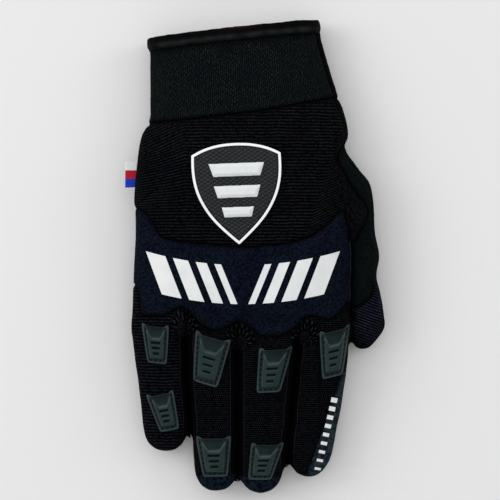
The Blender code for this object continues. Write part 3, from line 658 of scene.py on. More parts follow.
def knit_material(name, shaded_valley, crest_highlight, tint, pitch, stitch_pitch, stitch_share, depth, across="X", waver=0.35,
                  sheen=0.006):
    """Ribbed knit whose ribs run along one of the cloth's own directions, with smooth strips beside it; the rib tops
    carry a painted highlight and the valleys painted shade.
    """
    made, wires, shader = cloth_base(name, 0.86, sheen)
    lay = lay_of(wires)
    first, second = (lay["X"], lay["Y"]) if across == "X" else (lay["Y"], lay["X"])
    ribs = grouped(wires, KNIT_RIBS, Across=first, Along=second, Pitch=pitch, Stitch_Pitch=stitch_pitch,
                   Stitch_Share=stitch_share, Waver=waver)
    place = wires.add("ShaderNodeTexCoord").outputs["Object"]
    cloud = wires.spread(wires.noise(place, 85.0, 3.0), 0.35, 0.65)
    # Painted light: rib tops take the paler crest colour, valleys the near-black colour.
    ribbed = wires.mix_colour(ribs.outputs["Crest Highlight"], shaded_valley, wires.mix_colour(cloud, crest_highlight, tint))
    smooth = wires.spread(lay["Z"], 0.4, 0.6)
    strip = wires.mix_colour(wires.spread(lay["Z"], 1.3, 1.7), SIDE_STRIP_AND_GAP_SHADE, TIP_STRIP)
    strip = wires.mix_colour(wires.spread(lay["Z"], 2.0, 3.0), strip, LIT_STRIP)
    mottled = wires.math("MULTIPLY", wires.spread(wires.noise(place, 640.0, 1.0, 0.4), 0.34, 0.66), 0.8)
    strip = wires.mix_colour(mottled, strip, SHADE_AND_MOTTLE_DARK)
    wires.join(seam_shaded(wires, wires.mix_colour(smooth, ribbed, strip)), shader.inputs["Base Color"])
    fuzz = wires.math("MULTIPLY", wires.noise(place, 2200.0, 3.0), 0.3)
    bump(wires, shader, wires.blend(smooth, ribs.outputs["Height"], fuzz), depth)
    return made


def brushed_material(name, dark, light, tint, roughness, sheen, depth, fibre=1500.0, speckle=0.42):
    """Brushed cloth: short fibres over cloudy patches of three near colours."""
    made, wires, shader = cloth_base(name, roughness, sheen, 0.5)
    nap = grouped(wires, BRUSHED_NAP, Fibre_Scale=fibre)
    place = wires.add("ShaderNodeTexCoord").outputs["Object"]
    cloud = wires.mix_colour(nap.outputs["Patch"], dark, light)
    hue = wires.spread(wires.noise(place, 45.0, 3.0), 0.4, 0.65)
    cloud = wires.mix_colour(wires.math("MULTIPLY", hue, 0.8), cloud, tint)
    speck = tuple(part * 2.1 for part in light)
    napped = wires.mix_colour(wires.math("MULTIPLY", nap.outputs["Fibre"], 0.42), cloud, speck)
    mottle = wires.spread(wires.noise(place, 900.0, 1.5, 0.5), 0.34, 0.66)
    napped = wires.mix_colour(wires.math("MULTIPLY", mottle, speckle), napped, SHADE_AND_MOTTLE_DARK)
    wires.join(seam_shaded(wires, napped), shader.inputs["Base Color"])
    bump(wires, shader, nap.outputs["Height"], depth)
    return made


# Each knit's colours: its valleys (painted shade over the yarn's black), its rib tops (painted highlight), and a tint.
CUFF_CLOTH = knit_material("cuff_elastic", (0.0018, 0.0030, 0.0029), (0.0138, 0.0188, 0.0168),
                           (0.0092, 0.0108, 0.0165), 1.05 * MM, 2.0 * MM, 0.5, 0.22 * MM, waver=1.2)
# The cuff's palm side: a darker copy of the same elastic, painted shade.
CUFF_SHADED_SIDE_CLOTH = knit_material("cuff_side_elastic_shaded", (0.0004, 0.0005, 0.0008), (0.0070, 0.0072, 0.0088),
                                (0.0070, 0.0062, 0.0070), 1.05 * MM, 2.0 * MM, 0.5, 0.22 * MM, waver=1.2)
RIB_CLOTH = knit_material("rib_knit", (0.0001, 0.0001, 0.0003), (0.0112, 0.0122, 0.0146), (0.0078, 0.0084, 0.0120),
                          RIB_PITCH, 1.0 * MM, 0.3, 0.42 * MM, across="Y")
THUMB_CLOTH = knit_material("thumb_rib_knit", (0.0002, 0.0002, 0.0009), (0.0200, 0.0225, 0.0400),
                            (0.0090, 0.0110, 0.0170), THUMB_RIB_PITCH, 1.0 * MM, 0.2, 0.2 * MM, across="Y", waver=0.0)
FINGER_CLOTH = knit_material("finger_knit", (0.0001, 0.0001, 0.0004), (0.0160, 0.0172, 0.0222),
                             (0.0124, 0.0146, 0.0182), 1.02 * MM, 1.02 * MM, 1.0, 0.26 * MM, across="Y", waver=0.15)
LITTLE_CLOTH = knit_material("little_rib_knit", (0.0001, 0.0001, 0.0005), (0.0135, 0.0140, 0.0215),
                             (0.0105, 0.0115, 0.0160), 1.5 * MM, 1.0 * MM, 0.35, 0.4 * MM, across="Y")
SUEDE = brushed_material("suede", (0.0008, 0.0018, 0.0016), (0.0030, 0.0050, 0.0044), (0.0010, 0.0014, 0.0034),
                         0.88, 0.006, 0.18 * MM, 1200.0, 0.45)
SOFT_CLOTH = brushed_material("soft_panel", (0.0022, 0.0024, 0.0072), (0.0046, 0.0066, 0.0150),
                              (0.0022, 0.0066, 0.0100), 0.80, 0.01, 0.10 * MM, 950.0, 0.80)

CLOTH_OF = {
    "cuff_back": (CUFF_CLOTH, "cuff_elastic"),
    "cuff_palm_side": (CUFF_SHADED_SIDE_CLOTH, "cuff_elastic"),
    "back_rib_panel": (RIB_CLOTH, "rib_knit"),
    "knuckle_panel": (SOFT_CLOTH, "soft_panel"),
    "finger_little": (LITTLE_CLOTH, "finger_knit"),
    "finger_ring": (FINGER_CLOTH, "finger_knit"),
    "finger_middle": (FINGER_CLOTH, "finger_knit"),
    "finger_index": (FINGER_CLOTH, "finger_knit"),
    "thumb_suede": (SUEDE, "suede"),
    "thumb_knit": (THUMB_CLOTH, "rib_knit"),
    "palm_panel": (SUEDE, "suede"),
}


# The sewn panels, each separated from the skin

PLEAT_SPREAD = 5.1 * MM
PLEAT_RUN = 1.7 * MM


def lay_points(node, points):
    """Each point's place in the cloth: across it, along it, and a third value."""
    x, y, z = points.T
    low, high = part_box(node)
    middle = (low.x + high.x) / 2
    drop = np.maximum(high.z - z, 0)
    across = np.sign(x - middle) * (np.abs(x - middle) + drop)
    along = y.copy()
    third = np.zeros(len(points))
    if node == "back_rib_panel":
        fold = np.array(on_sheet(328, 170))
        left = np.array(on_sheet(185, 150))
        along = along + 0.42 * np.maximum(left[0] - x, 0) * np.clip((y - left[1] + 30 * MM) / (30 * MM), 0, 1)
        along = along - 0.58 * np.maximum(x - fold[0] + (y - fold[1]) * -0.35, 0)
        along = along - 0.55 * np.maximum(x - on_sheet(343, 0)[0], 0)
    if node == "thumb_knit":
        along = along + 0.36 * x
    if node in FINGER_NODES:
        # Strips beside the gaps: their near-black colour is partly painted shade of the gap between the fingers.
        beside = distances(slit_tree, np.stack([x, y, np.zeros(len(x))], axis=1))
        plan = points[:, :2]
        third = np.clip((STRIP_WIDTH - beside) / (0.6 * MM) + 0.5, 0, 1) * outside_gathers(plan)
        tip = low.y + TIP_PATCH
        if node in ("finger_ring", "finger_middle"):
            third = np.maximum(third, 2 * np.clip((tip - y) / (0.6 * MM) + 0.5, 0, 1))
        for gather in GATHERS:
            turn, reach = at_gather(gather, plan)
            along = np.where(reach < 1, turn * PLEAT_SPREAD, along)
            across = np.where(reach < 1, reach * PLEAT_RUN, across)
        if node == "finger_index":
            start = np.array(on_sheet(334, 392))
            end = np.array(on_sheet(306, 474))
            lean = (end[0] - start[0]) / (end[1] - start[1])
            seam = start[0] + lean * (y - start[1])
            beyond = np.clip((x - seam) / (0.6 * MM) + 0.5, 0, 1) * (y < start[1] + 12 * MM)
            # Past the seam, the flank's navy cloth is ramped outwards into a painted sheen.
            third = np.maximum(third, beyond * (2 + np.clip((x - seam) / (2.5 * MM), 0, 1)))
    return np.stack([across, along, third], axis=1)


def turned_in(points, pairs, edge_points, distance):
    """Edge points moved into their own panel, so that a hair of space is left along each seam."""
    step = neighbour_mean(points, pairs) - points
    length = np.maximum(np.linalg.norm(step, axis=1), 1e-9)[:, None]
    points = points.copy()
    points[edge_points] += (step / length * distance)[edge_points]
    return points


def edge_points_of(mesh):
    edge = np.empty(len(mesh.loops), np.int32)
    mesh.loops.foreach_get("edge_index", edge)
    use = np.bincount(edge, minlength=len(mesh.edges))
    return np.unique(edges_of(mesh)[use == 1])


def separate_panels(made):
    """The skin as one object for each panel."""
    mark = made.data.attributes.new("panel", "INT", "FACE")
    mark.data.foreach_set("value", numbers.astype(np.int32))
    made.data.materials.clear()
    for node in SHELL_NODES:
        made.data.materials.append(CLOTH_OF[node][0])
    made.data.polygons.foreach_set("material_index", numbers.astype(np.int32))
    made.data.update()
    select_only(made)
    bpy.ops.object.mode_set(mode="EDIT")
    bpy.ops.mesh.separate(type="MATERIAL")
    bpy.ops.object.mode_set(mode="OBJECT")
    return {SHELL_NODES[part.data.attributes["panel"].data[0].value]: part
            for part in list(bpy.context.selected_objects)}


def raised_ribs(part, node):
    """The thumb's ribs stand out against the light, so they are modelled: a finer mesh, moved along its normals."""
    finer = part.modifiers.new("Finer cells", "SUBSURF")
    finer.subdivision_type = "SIMPLE"
    finer.levels = 2
    finer.render_levels = 2
    apply_modifiers(part)
    mesh = part.data
    points = points_of(mesh)
    edge = points[edge_points_of(mesh)]
    inward = np.clip(distances(tree_over(edge), points) / (1.5 * MM), 0, 1)
    turns = lay_points(node, points)[:, 1] / THUMB_RIB_PITCH
    rib = np.abs(np.sin(pi * turns)) ** 0.7 - 0.7
    points = points + normals_of(mesh) * (THUMB_RIB_RISE * rib * inward)[:, None]
    points[:, 2] = np.maximum(points[:, 2], 0.0)
    move_points(mesh, points)
    return points


def finish_panel(node, part):
    """One panel: its cloth coordinates, its turned edge, its wall and its material."""
    mesh = part.data
    edge = edge_points_of(mesh)
    points = points_of(mesh)
    at_mouth = points[edge] @ outward > MOUTH_EDGE - 0.3 * MM
    edge = edge[~at_mouth]
    points = turned_in(points, edges_of(mesh), edge, 0.16 * MM)
    move_points(mesh, points)
    if node == "thumb_knit":
        points = raised_ribs(part, node)
        mesh = part.data
    lay = mesh.attributes.new("lay", "FLOAT_VECTOR", "POINT")
    lay.data.foreach_set("vector", lay_points(node, points).astype(np.float32).ravel())
    wall = part.modifiers.new("Wall", "SOLIDIFY")
    wall.thickness = WALL
    wall.offset = -1
    apply_modifiers(part)
    part.name = node + "_cloth"
    mesh.name = part.name
    cloth, slot = CLOTH_OF[node]
    part.data.materials.clear()
    part.data.materials.append(cloth)
    part.data.polygons.foreach_set("material_index", np.zeros(len(part.data.polygons), np.int32))
    select_only(part)
    bpy.ops.object.shade_smooth_by_angle(angle=radians(50))
    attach(part, "root")
    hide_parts(node)


# The record of a panel's cut, in metres and square metres: its pattern lies in a rectangle of this width and length
Cut = namedtuple("Cut", "width length area held")

for node, part in separate_panels(skin).items():
    finish_panel(node, part)


# Hard and printed pieces: each is laid on the skin

def plan_points(node):
    """A node's points seen from above."""
    return np.array([vertex.co[:2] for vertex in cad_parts[node].data.vertices])


def smooth_step(value):
    value = np.clip(value, 0, 1)
    return value * value * (3 - 2 * value)


def ground_under(points):
    return np.array([ground(x, y) for x, y in points[:, :2]])


def paint(name, colour, roughness, specular=0.4, coat=0.0):
    made = bpy.data.materials.new(name)
    made.use_nodes = True
    shader = made.node_tree.nodes["Principled BSDF"]
    shader.inputs["Base Color"].default_value = (*colour, 1.0)
    shader.inputs["Roughness"].default_value = roughness
    shader.inputs["Specular IOR Level"].default_value = specular
    shader.inputs["Coat Weight"].default_value = coat
    return made, Wires(made.node_tree), shader


def wear_group():
    """Scuffs and dust of moulded rubber: a cloudy mask and fine scratches."""
    group, entry, leave = shader_group(
        "moulded wear", [("Scale", "NodeSocketFloat", 300.0)],
        [("Scuff", "NodeSocketFloat"), ("Grain", "NodeSocketFloat")])
    wires = Wires(group)
    place = wires.add("ShaderNodeTexCoord").outputs["Object"]
    cloud = wires.add("ShaderNodeTexNoise")
    cloud.inputs["Detail"].default_value = 6.0
    cloud.inputs["Roughness"].default_value = 0.65
    wires.join(place, cloud.inputs["Vector"])
    wires.join(entry.outputs["Scale"], cloud.inputs["Scale"])
    wires.join(wires.spread(cloud.outputs["Fac"], 0.45, 0.75), leave.inputs["Scuff"])
    wires.join(wires.noise(place, 4200.0, 2.0), leave.inputs["Grain"])
    return group


MOULDED_WEAR = wear_group()


def guard_rubber():
    """Grey-green moulded rubber with scuffs: painted highlights along its edges and facets, painted shade in its
    slots, channel and scoop.
    """
    made, wires, shader = paint("guard_rubber", (0.012, 0.021, 0.023), 0.46, 0.07)
    wear = grouped(wires, MOULDED_WEAR, Scale=260.0)
    lay = lay_of(wires)
    crest_highlight = wires.spread(lay["Z"], 0.0, 1.0)
    sunk = wires.spread(lay["Z"], 0.0, -1.0)
    body = wires.mix_colour(wear.outputs["Scuff"], (0.0125, 0.0235, 0.0245), (0.0200, 0.0320, 0.0330))
    # Painted highlight on the edges and painted shade in the slots, from the value in lay's third part.
    edge_highlighted = wires.mix_colour(crest_highlight, body, (0.0580, 0.0800, 0.0780))
    wires.join(wires.mix_colour(sunk, edge_highlighted, (0.0006, 0.0022, 0.0025)), shader.inputs["Base Color"])
    wires.join(wires.spread(wear.outputs["Scuff"], 0.0, 1.0, 0.42, 0.58), shader.inputs["Roughness"])
    bump(wires, shader, wear.outputs["Grain"], 0.03 * MM)
    return made


GUARD_RUBBER = guard_rubber()


def thread(name, dark, ply_highlight):
    """Twisted thread, with a painted highlight where its plies stand up."""
    made, wires, shader = paint(name, dark, 0.6, 0.06)
    place = wires.add("ShaderNodeTexCoord").outputs["Object"]
    plies = wires.noise(place, 5200.0, 2.0)
    wires.join(wires.mix_colour(wires.spread(plies, 0.4, 0.7), dark, ply_highlight), shader.inputs["Base Color"])
    bump(wires, shader, plies, 0.05 * MM)
    return made


THREAD = thread("black_thread", (0.0006, 0.0006, 0.0010), (0.0040, 0.0042, 0.0050))
GREY_THREAD = thread("grey_thread", (0.0080, 0.0080, 0.0105), (0.0240, 0.0230, 0.0290))


# Stitches: one stitch is modelled once and copied along each seam

def stitch_form():
    """One stitch: a rounded length of thread, lying along X, one unit long."""
    bpy.ops.mesh.primitive_uv_sphere_add(segments=6, ring_count=5, radius=0.5, rotation=(0, pi / 2, 0))
    made = bpy.context.object
    bpy.ops.object.transform_apply(location=True, rotation=True, scale=True)
    points = points_of(made.data)
    points[:, 0] = np.sign(points[:, 0]) * (np.abs(points[:, 0]) * 2) ** 0.75 / 2
    faces = [tuple(face.vertices) for face in made.data.polygons]
    bpy.data.objects.remove(made)
    return points, faces


STITCH_POINTS, STITCH_FACES = stitch_form()


def stitches(name, places, length, width, cloth=None):
    """A row of stitches as one piece. Each place is a spot, its direction and the cloth's normal."""
    corners = []
    faces = []
    for spot, along, up in places:
        along = Vector(along).normalized()
        side = Vector(up).cross(along).normalized()
        up = along.cross(side)
        turn = np.array([along * length, side * width, up * width * 0.8])
        start = len(corners) * len(STITCH_POINTS)
        corners.append(STITCH_POINTS @ turn + np.array(spot))
        faces += [tuple(start + corner for corner in face) for face in STITCH_FACES]
    mesh = bpy.data.meshes.new(name)
    mesh.from_pydata(np.concatenate(corners).tolist(), [], faces)
    made = new_object(name, mesh)
    made.data.materials.append(cloth or THREAD)
    select_only(made)
    bpy.ops.object.shade_smooth()
    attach(made, "root")
    return made


def evenly_along(path, pitch, closed=False):
    """Spots at an even pitch along a path, each with its direction."""
    path = [Vector(spot) for spot in path]
    if closed:
        path.append(path[0])
    found = []
    carry = pitch / 2
    for start, end in zip(path, path[1:]):
        length = (end - start).length
        while carry <= length and length > 0:
            found.append((start.lerp(end, carry / length), end - start))
            carry += pitch
        carry -= length
    return found


def seam_path(first, second):
    """The seam between two panels, from end to end."""
    pair = sorted((SHELL_NODES.index(first), SHELL_NODES.index(second)))
    chosen = seam_edges[(seam_sides == pair).all(axis=1)]
    joined = {}
    for a, b in chosen.tolist():
        joined.setdefault(a, []).append(b)
        joined.setdefault(b, []).append(a)
    best = []
    left = set(joined)
    while left:
        ends = [point for point in left if len(joined[point]) == 1]
        at = min(ends) if ends else min(left)
        path = [at]
        left.discard(at)
        while True:
            ahead = [point for point in joined[path[-1]] if point in left]
            if not ahead:
                break
            path.append(ahead[0])
            left.discard(ahead[0])
        if len(path) > len(best):
            best = path
    return [Vector(skin_points[point]) for point in best]


def beside_seam(path, distance, toward):
    """The path moved sideways over the skin, towards a direction."""
    moved = []
    for before, spot, after in zip(path[:1] + path, path, path[1:] + path[-1:]):
        normal = skin_tree.find_nearest(spot)[1]
        side = normal.cross(after - before).normalized()
        if side.dot(Vector(toward)) < 0:
            side = -side
        moved.append(skin_tree.find_nearest(spot + side * distance)[0])
    return moved


def eased(path, rounds=12):
    """The path with its small bends taken out; its ends stay."""
    for _ in range(rounds):
        inner = [(before + spot * 2 + after) / 4 for before, spot, after in zip(path, path[1:], path[2:])]
        path = path[:1] + inner + path[-1:]
    return path


def seam_row(name, first, second, distance, toward, pitch, length, width, cloth=None):
    path = eased(beside_seam(eased(seam_path(first, second)), distance, toward))
    places = []
    for spot, along in evenly_along(path, pitch):
        near, normal = skin_tree.find_nearest(spot)[:2]
        places.append((near + normal * width * 0.2, along, normal))
    return stitches(name, places, length, width, cloth)


# Guards

GUARD_CELLS = (56, 78)
GUARD_REACH = {"guard_index_base": 0.13}
GUARD_NOTCH = 0.075
GUARD_HEIGHT = 2.5 * MM
GUARD_FLANGE = 0.95 * MM
GUARD_WALL = 0.75 * MM
GUARD_SEAT = 0.30 * MM
CHANNEL = 1.45 * MM
Slot = namedtuple("Slot", "run width")
GUARD_SLOTS = [Slot(0.46, 0.40), Slot(0.605, 0.34), Slot(0.745, 0.28)]
SLOT_LENGTH = 1.35 * MM


def guard_corners(node):
    """The guard's corners in plan: wide end's left and right, then the narrow end's."""
    spots = plan_points(node)
    top_left, top_right, tip_left, tip_right = (spots[np.argmax(spots @ np.array(way))]
                                                for way in ((-1, 1), (1, 1), (-1, -1), (1, -1)))
    reach = GUARD_REACH.get(node, 0.0)
    return [top_left, top_right, tip_left + (tip_left - top_left) * reach, tip_right + (tip_right - top_right) * reach]


def guard_plan(corners, across, run):
    """The plan point of shares across (-1 to 1) and along (0 to 1) a guard."""
    power = (np.abs(across) ** 12 + np.abs(2 * run - 1) ** 12) ** (1 / 12)
    largest = np.maximum(np.abs(across), np.abs(2 * run - 1))
    share = np.where(power > 0, largest / np.maximum(power, 1e-9), 1.0)
    across = across * share
    run = (2 * run - 1) * share / 2 + 0.5
    run = run + GUARD_NOTCH * (1 - run) ** 2 * smooth_step((0.98 - np.abs(across)) / 0.42)
    right = (across[:, None] + 1) / 2
    top = corners[0] * (1 - right) + corners[1] * right
    tip = corners[2] * (1 - right) + corners[3] * right
    return top * (1 - run[:, None]) + tip * run[:, None]


def guard_relief(across, run, half, length):
    """The height of a guard over its seat, and its painted light and shade: -1 (painted shade) in its slots, 0 on its
    faces, 1 (painted highlight) on its edges.
    """
    edge = np.minimum((1 - np.abs(across)) * half, np.minimum(run, 1 - run) * length)
    lip = np.exp(-((edge - 0.48 * MM) / (0.30 * MM)) ** 2)
    sides = np.minimum((0.77 - np.abs(across)) * half, (0.90 - run) * length)
    front = 0.09 + 0.20 * smooth_step((0.70 - np.abs(across)) / 0.42)
    front_edge = (run - front) * length * 0.66
    inside = np.minimum(sides, front_edge)
    body = smooth_step(inside / (1.10 * MM))
    height = GUARD_FLANGE + 0.30 * MM * lip + (GUARD_HEIGHT - GUARD_FLANGE) * body * (1.08 - 0.20 * run)
    height += 0.30 * MM * body * (1 - (across / 0.77) ** 2)
    sunk = np.zeros(len(across))
    ledge = np.zeros(len(across))
    for slot in GUARD_SLOTS:
        down = (run - slot.run) * length
        wide = (slot.width - np.abs(across + 0.03)) * half
        sunk = np.maximum(sunk, smooth_step(np.minimum(wide, SLOT_LENGTH / 2 - np.abs(down)) / (0.26 * MM)))
        below = np.exp(-((down - 0.62 * SLOT_LENGTH) / (0.26 * MM)) ** 2)
        ledge = np.maximum(ledge, below * smooth_step(wide / (0.3 * MM)))
    height -= 0.85 * MM * sunk
    scoop = smooth_step((front - run) * length / (0.5 * MM)) * smooth_step((0.72 - np.abs(across)) / 0.1)
    channel = (1 - body) * (1 - lip) * smooth_step((edge - 0.6 * MM) / (0.4 * MM))
    facet = np.exp(-((front_edge - 0.60 * MM) / (0.42 * MM)) ** 2) * (sides > 0.2 * MM)
    bevel = np.exp(-((sides - 0.75 * MM) / (0.30 * MM)) ** 2) * (front_edge > 0.3 * MM)
    shade = 0.85 - 0.55 * run / front
    # Painted light: highlights on the lip, facets, bevels and ledges; painted shade in the channel, scoop and slots.
    painted_tone = 0.46 * lip + 0.95 * facet + 0.42 * bevel + 0.30 * ledge - 0.40 * channel * (1 - scoop) - shade * scoop
    return height, np.clip(painted_tone * (1 - sunk) - sunk, -1, 1)


def laid_solid(made, points, heights, third, wall):
    """A grid laid on the skin at the given heights, given a wall, and finished as a piece."""
    points[:, 2] = ground_under(points) + heights
    move_points(made.data, points)
    lay = made.data.attributes.new("lay", "FLOAT_VECTOR", "POINT")
    lay.data.foreach_set("vector", np.stack([points[:, 0], points[:, 1], third], axis=1).astype(np.float32).ravel())
    solid = made.modifiers.new("Wall", "SOLIDIFY")
    solid.thickness = wall
    solid.offset = -1
    apply_modifiers(made)
    bpy.ops.object.shade_smooth_by_angle(angle=radians(55))


def guard(node):
    corners = guard_corners(node)
    bpy.ops.mesh.primitive_grid_add(x_subdivisions=GUARD_CELLS[0], y_subdivisions=GUARD_CELLS[1], size=2)
    made = bpy.context.object
    made.name = node + "_rubber"
    points = points_of(made.data)
    across = points[:, 0]
    run = (1 - points[:, 1]) / 2
    wide = np.linalg.norm(corners[1] - corners[0]) / 2
    narrow = np.linalg.norm(corners[3] - corners[2]) / 2
    length = np.linalg.norm(corners[0] + corners[1] - corners[2] - corners[3]) / 2
    half = wide + (narrow - wide) * run
    # The second value is the guard's painted light and shade.
    height, mask = guard_relief(across, run, half, length)
    points[:, :2] = guard_plan(corners, across, run)
    laid_solid(made, points, GUARD_SEAT + height, mask, GUARD_WALL)
    made.data.materials.append(GUARD_RUBBER)
    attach(made, "root")
    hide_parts(node)

    loop = []
    margin = CHANNEL
    for first, last in (((-1, 0), (-1, 1)), ((-1, 1), (1, 1)), ((1, 1), (1, 0))):
        for share in np.linspace(0, 1, 12):
            across_at = first[0] + (last[0] - first[0]) * share
            run_at = first[1] + (last[1] - first[1]) * share
            here = wide + (narrow - wide) * run_at
            loop.append((across_at * (1 - margin / here), margin / length + run_at * (1 - 2 * margin / length)))
    across, run = np.array(loop).T
    plan_loop = guard_plan(corners, across, run)
    places = []
    for spot, along in evenly_along([Vector((x, y, 0)) for x, y in plan_loop], 2.45 * MM):
        base = Vector((spot.x, spot.y, ground(spot.x, spot.y) + GUARD_SEAT + GUARD_FLANGE + 0.04 * MM))
        ahead = spot + along.normalized() * MM
        slope = ground(ahead.x, ahead.y) - ground(spot.x, spot.y)
        places.append((base, along.normalized() + Vector((0, 0, slope / MM)), Vector((0, 0, 1))))
    row = stitches(node + "_stitches", places, 1.6 * MM, 0.62 * MM)
    return made, row


for node in GUARD_NODES:
    guard(node)


# Badge

BADGE_RIM = 1.2 * MM
RIM_HEIGHT = 1.35 * MM
PLATE_HEIGHT = 0.85 * MM
PLATE_CELLS = 132
DIAMOND = (3.0 * MM, 1.9 * MM)
DIAMOND_RISE = 0.42 * MM
BADGE_SEAT = 0.35 * MM


def hull(spots):
    """The convex outline of plan points, anticlockwise."""
    spots = sorted(set(map(tuple, np.round(spots, 7))))
    halves = []
    for order in (spots, spots[::-1]):
        line = []
        for spot in order:
            while len(line) > 1:
                (ax, ay), (bx, by) = line[-2:]
                if (bx - ax) * (spot[1] - ay) - (by - ay) * (spot[0] - ax) > 0:
                    break
                line.pop()
            line.append(spot)
        halves += line[:-1]
    return np.array(halves)


def rounded_outline(corners, count):
    """The outline eased between its corners and divided evenly; sharp corners stay."""
    closed = np.concatenate([corners, corners[:1]])
    lengths = np.linalg.norm(np.diff(closed, axis=0), axis=1)
    marks = np.concatenate([[0], np.cumsum(lengths)])
    steps = np.linspace(0, marks[-1], count, endpoint=False)
    line = np.stack([np.interp(steps, marks, closed[:, axis]) for axis in (0, 1)], axis=1)
    before = line - np.roll(line, 5, axis=0)
    after = np.roll(line, -5, axis=0) - line
    bend = np.abs(np.arctan2(before[:, 0] * after[:, 1] - before[:, 1] * after[:, 0], (before * after).sum(axis=1)))
    ease = np.clip((0.75 - bend) / 0.25, 0, 1)[:, None]
    for _ in range(14):
        mean = (np.roll(line, 1, axis=0) + np.roll(line, -1, axis=0)) / 2
        line = line + (mean - line) * 0.5 * ease
    return line


def badge_rim():
    """The raised white edge: a shield-shaped ring with rounded top edges."""
    line = rounded_outline(hull(plan_points("badge_rim")), 180)
    bpy.ops.mesh.primitive_circle_add(vertices=len(line), fill_type="NGON")
    made = bpy.context.object
    made.name = "badge_rim_moulded"
    order = np.argsort(np.arctan2(*(points_of(made.data)[:, 1::-1].T)))
    middle = line.mean(axis=0)
    turn = np.argsort(np.arctan2(line[:, 1] - middle[1], line[:, 0] - middle[0]))
    points = np.zeros((len(line), 3))
    points[order, :2] = line[turn]
    move_points(made.data, points)
    select_only(made)
    bpy.ops.object.mode_set(mode="EDIT")
    bpy.ops.mesh.select_all(action="SELECT")
    bpy.ops.mesh.inset(thickness=BADGE_RIM, depth=0)
    bpy.ops.mesh.delete(type="FACE")
    bpy.ops.mesh.select_all(action="SELECT")
    bpy.ops.mesh.normals_make_consistent(inside=False)
    bpy.ops.object.mode_set(mode="OBJECT")
    points = points_of(made.data)
    points[:, 2] = ground_under(points) + BADGE_SEAT + RIM_HEIGHT
    move_points(made.data, points)
    if made.data.polygons[0].normal.z < 0:
        made.data.flip_normals()
    solid = made.modifiers.new("Wall", "SOLIDIFY")
    solid.thickness = RIM_HEIGHT
    solid.offset = -1
    rounding = made.modifiers.new("Rounding", "BEVEL")
    rounding.width = 0.42 * MM
    rounding.segments = 3
    rounding.limit_method = "ANGLE"
    rounding.angle_limit = radians(50)
    apply_modifiers(made)
    bpy.ops.object.shade_smooth_by_angle(angle=radians(40))
    return made, line


def badge_white(name, clean, worn):
    made, wires, shader = paint(name, clean, 0.34, 0.5)
    wear = grouped(wires, MOULDED_WEAR, Scale=180.0)
    wires.join(wires.mix_colour(wires.math("MULTIPLY", wear.outputs["Scuff"], 0.5), clean, worn),
               shader.inputs["Base Color"])
    wires.join(wires.spread(wear.outputs["Scuff"], 0.0, 1.0, 0.30, 0.45), shader.inputs["Roughness"])
    bump(wires, shader, wear.outputs["Grain"], 0.02 * MM)
    return made


def badge_mesh():
    """The badge's dark field with scuffs: each raised diamond is painted paler on top and near black in the gaps
    between, as painted light and shade.
    """
    made, wires, shader = paint("badge_mesh", (0.02, 0.022, 0.026), 0.40, 0.14)
    lay = lay_of(wires)
    wear = grouped(wires, MOULDED_WEAR, Scale=320.0)
    top = wires.mix_colour(wear.outputs["Scuff"], (0.0190, 0.0225, 0.0245), (0.0300, 0.0340, 0.0360))
    # Painted light: diamond tops paler, the gaps between them painted shade.
    wires.join(wires.mix_colour(wires.spread(lay["Z"], 0.10, 0.80), (0.0022, 0.0027, 0.0030), top),
               shader.inputs["Base Color"])
    bump(wires, shader, wear.outputs["Grain"], 0.02 * MM)
    return made


RIM_WHITE = badge_white("rim_white", (0.80, 0.82, 0.82), (0.68, 0.70, 0.71))
# The bars' white is a darker copy of the rim's white: painted shade.
SHADED_BAR_WHITE = badge_white("bar_white_shaded", (0.66, 0.68, 0.68), (0.56, 0.58, 0.59))
BADGE_MESH = badge_mesh()


def badge_plate(outline):
    """The badge's field of small raised diamonds, cut to the shield."""
    low = outline.min(axis=0)
    high = outline.max(axis=0)
    middle = (low + high) / 2
    bpy.ops.mesh.primitive_grid_add(x_subdivisions=PLATE_CELLS, y_subdivisions=PLATE_CELLS, size=1,
                                    location=(middle[0], middle[1], 0))
    made = bpy.context.object
    made.name = "badge_plate_moulded"
    made.scale = (high[0] - low[0], high[1] - low[1], 1)
    bpy.ops.object.transform_apply(location=True, rotation=True, scale=True)
    bm = bmesh.new()
    bm.from_mesh(made.data)
    for start, end in zip(outline, np.roll(outline, -1, axis=0)):
        run = Vector((*(end - start), 0)).normalized()
        side = Vector((run.y, -run.x, 0))
        bmesh.ops.bisect_plane(bm, geom=bm.verts[:] + bm.edges[:] + bm.faces[:], dist=1e-7,
                               plane_co=Vector((*start, 0)) - side * (BADGE_RIM + 0.05 * MM), plane_no=side,
                               clear_outer=True)
    bm.to_mesh(made.data)
    bm.free()
    points = points_of(made.data)
    turn = 0.037
    x = (points[:, 0] * cos(turn) + points[:, 1] * sin(turn)) / DIAMOND[0]
    y = (-points[:, 0] * sin(turn) + points[:, 1] * cos(turn)) / DIAMOND[1]
    first = np.abs((x + y) % 1 - 0.5) * 2
    second = np.abs((x - y) % 1 - 0.5) * 2
    rise = smooth_step((1 - np.maximum(first, second)) * 1.7)
    edge = np.array([(*spot, 0.0) for spot in rounded_outline(outline, 400)])
    rise = rise * smooth_step((distances(tree_over(edge), points * (1, 1, 0)) - BADGE_RIM - 0.35 * MM) / (0.5 * MM))
    # The diamonds' height also sets their painted light and shade.
    laid_solid(made, points, BADGE_SEAT + PLATE_HEIGHT + DIAMOND_RISE * rise, rise, PLATE_HEIGHT * 0.8)
    made.data.materials.append(BADGE_MESH)
    return made


BAR_CROWN = 0.75 * MM
BAR_EASE = 1.7 * MM


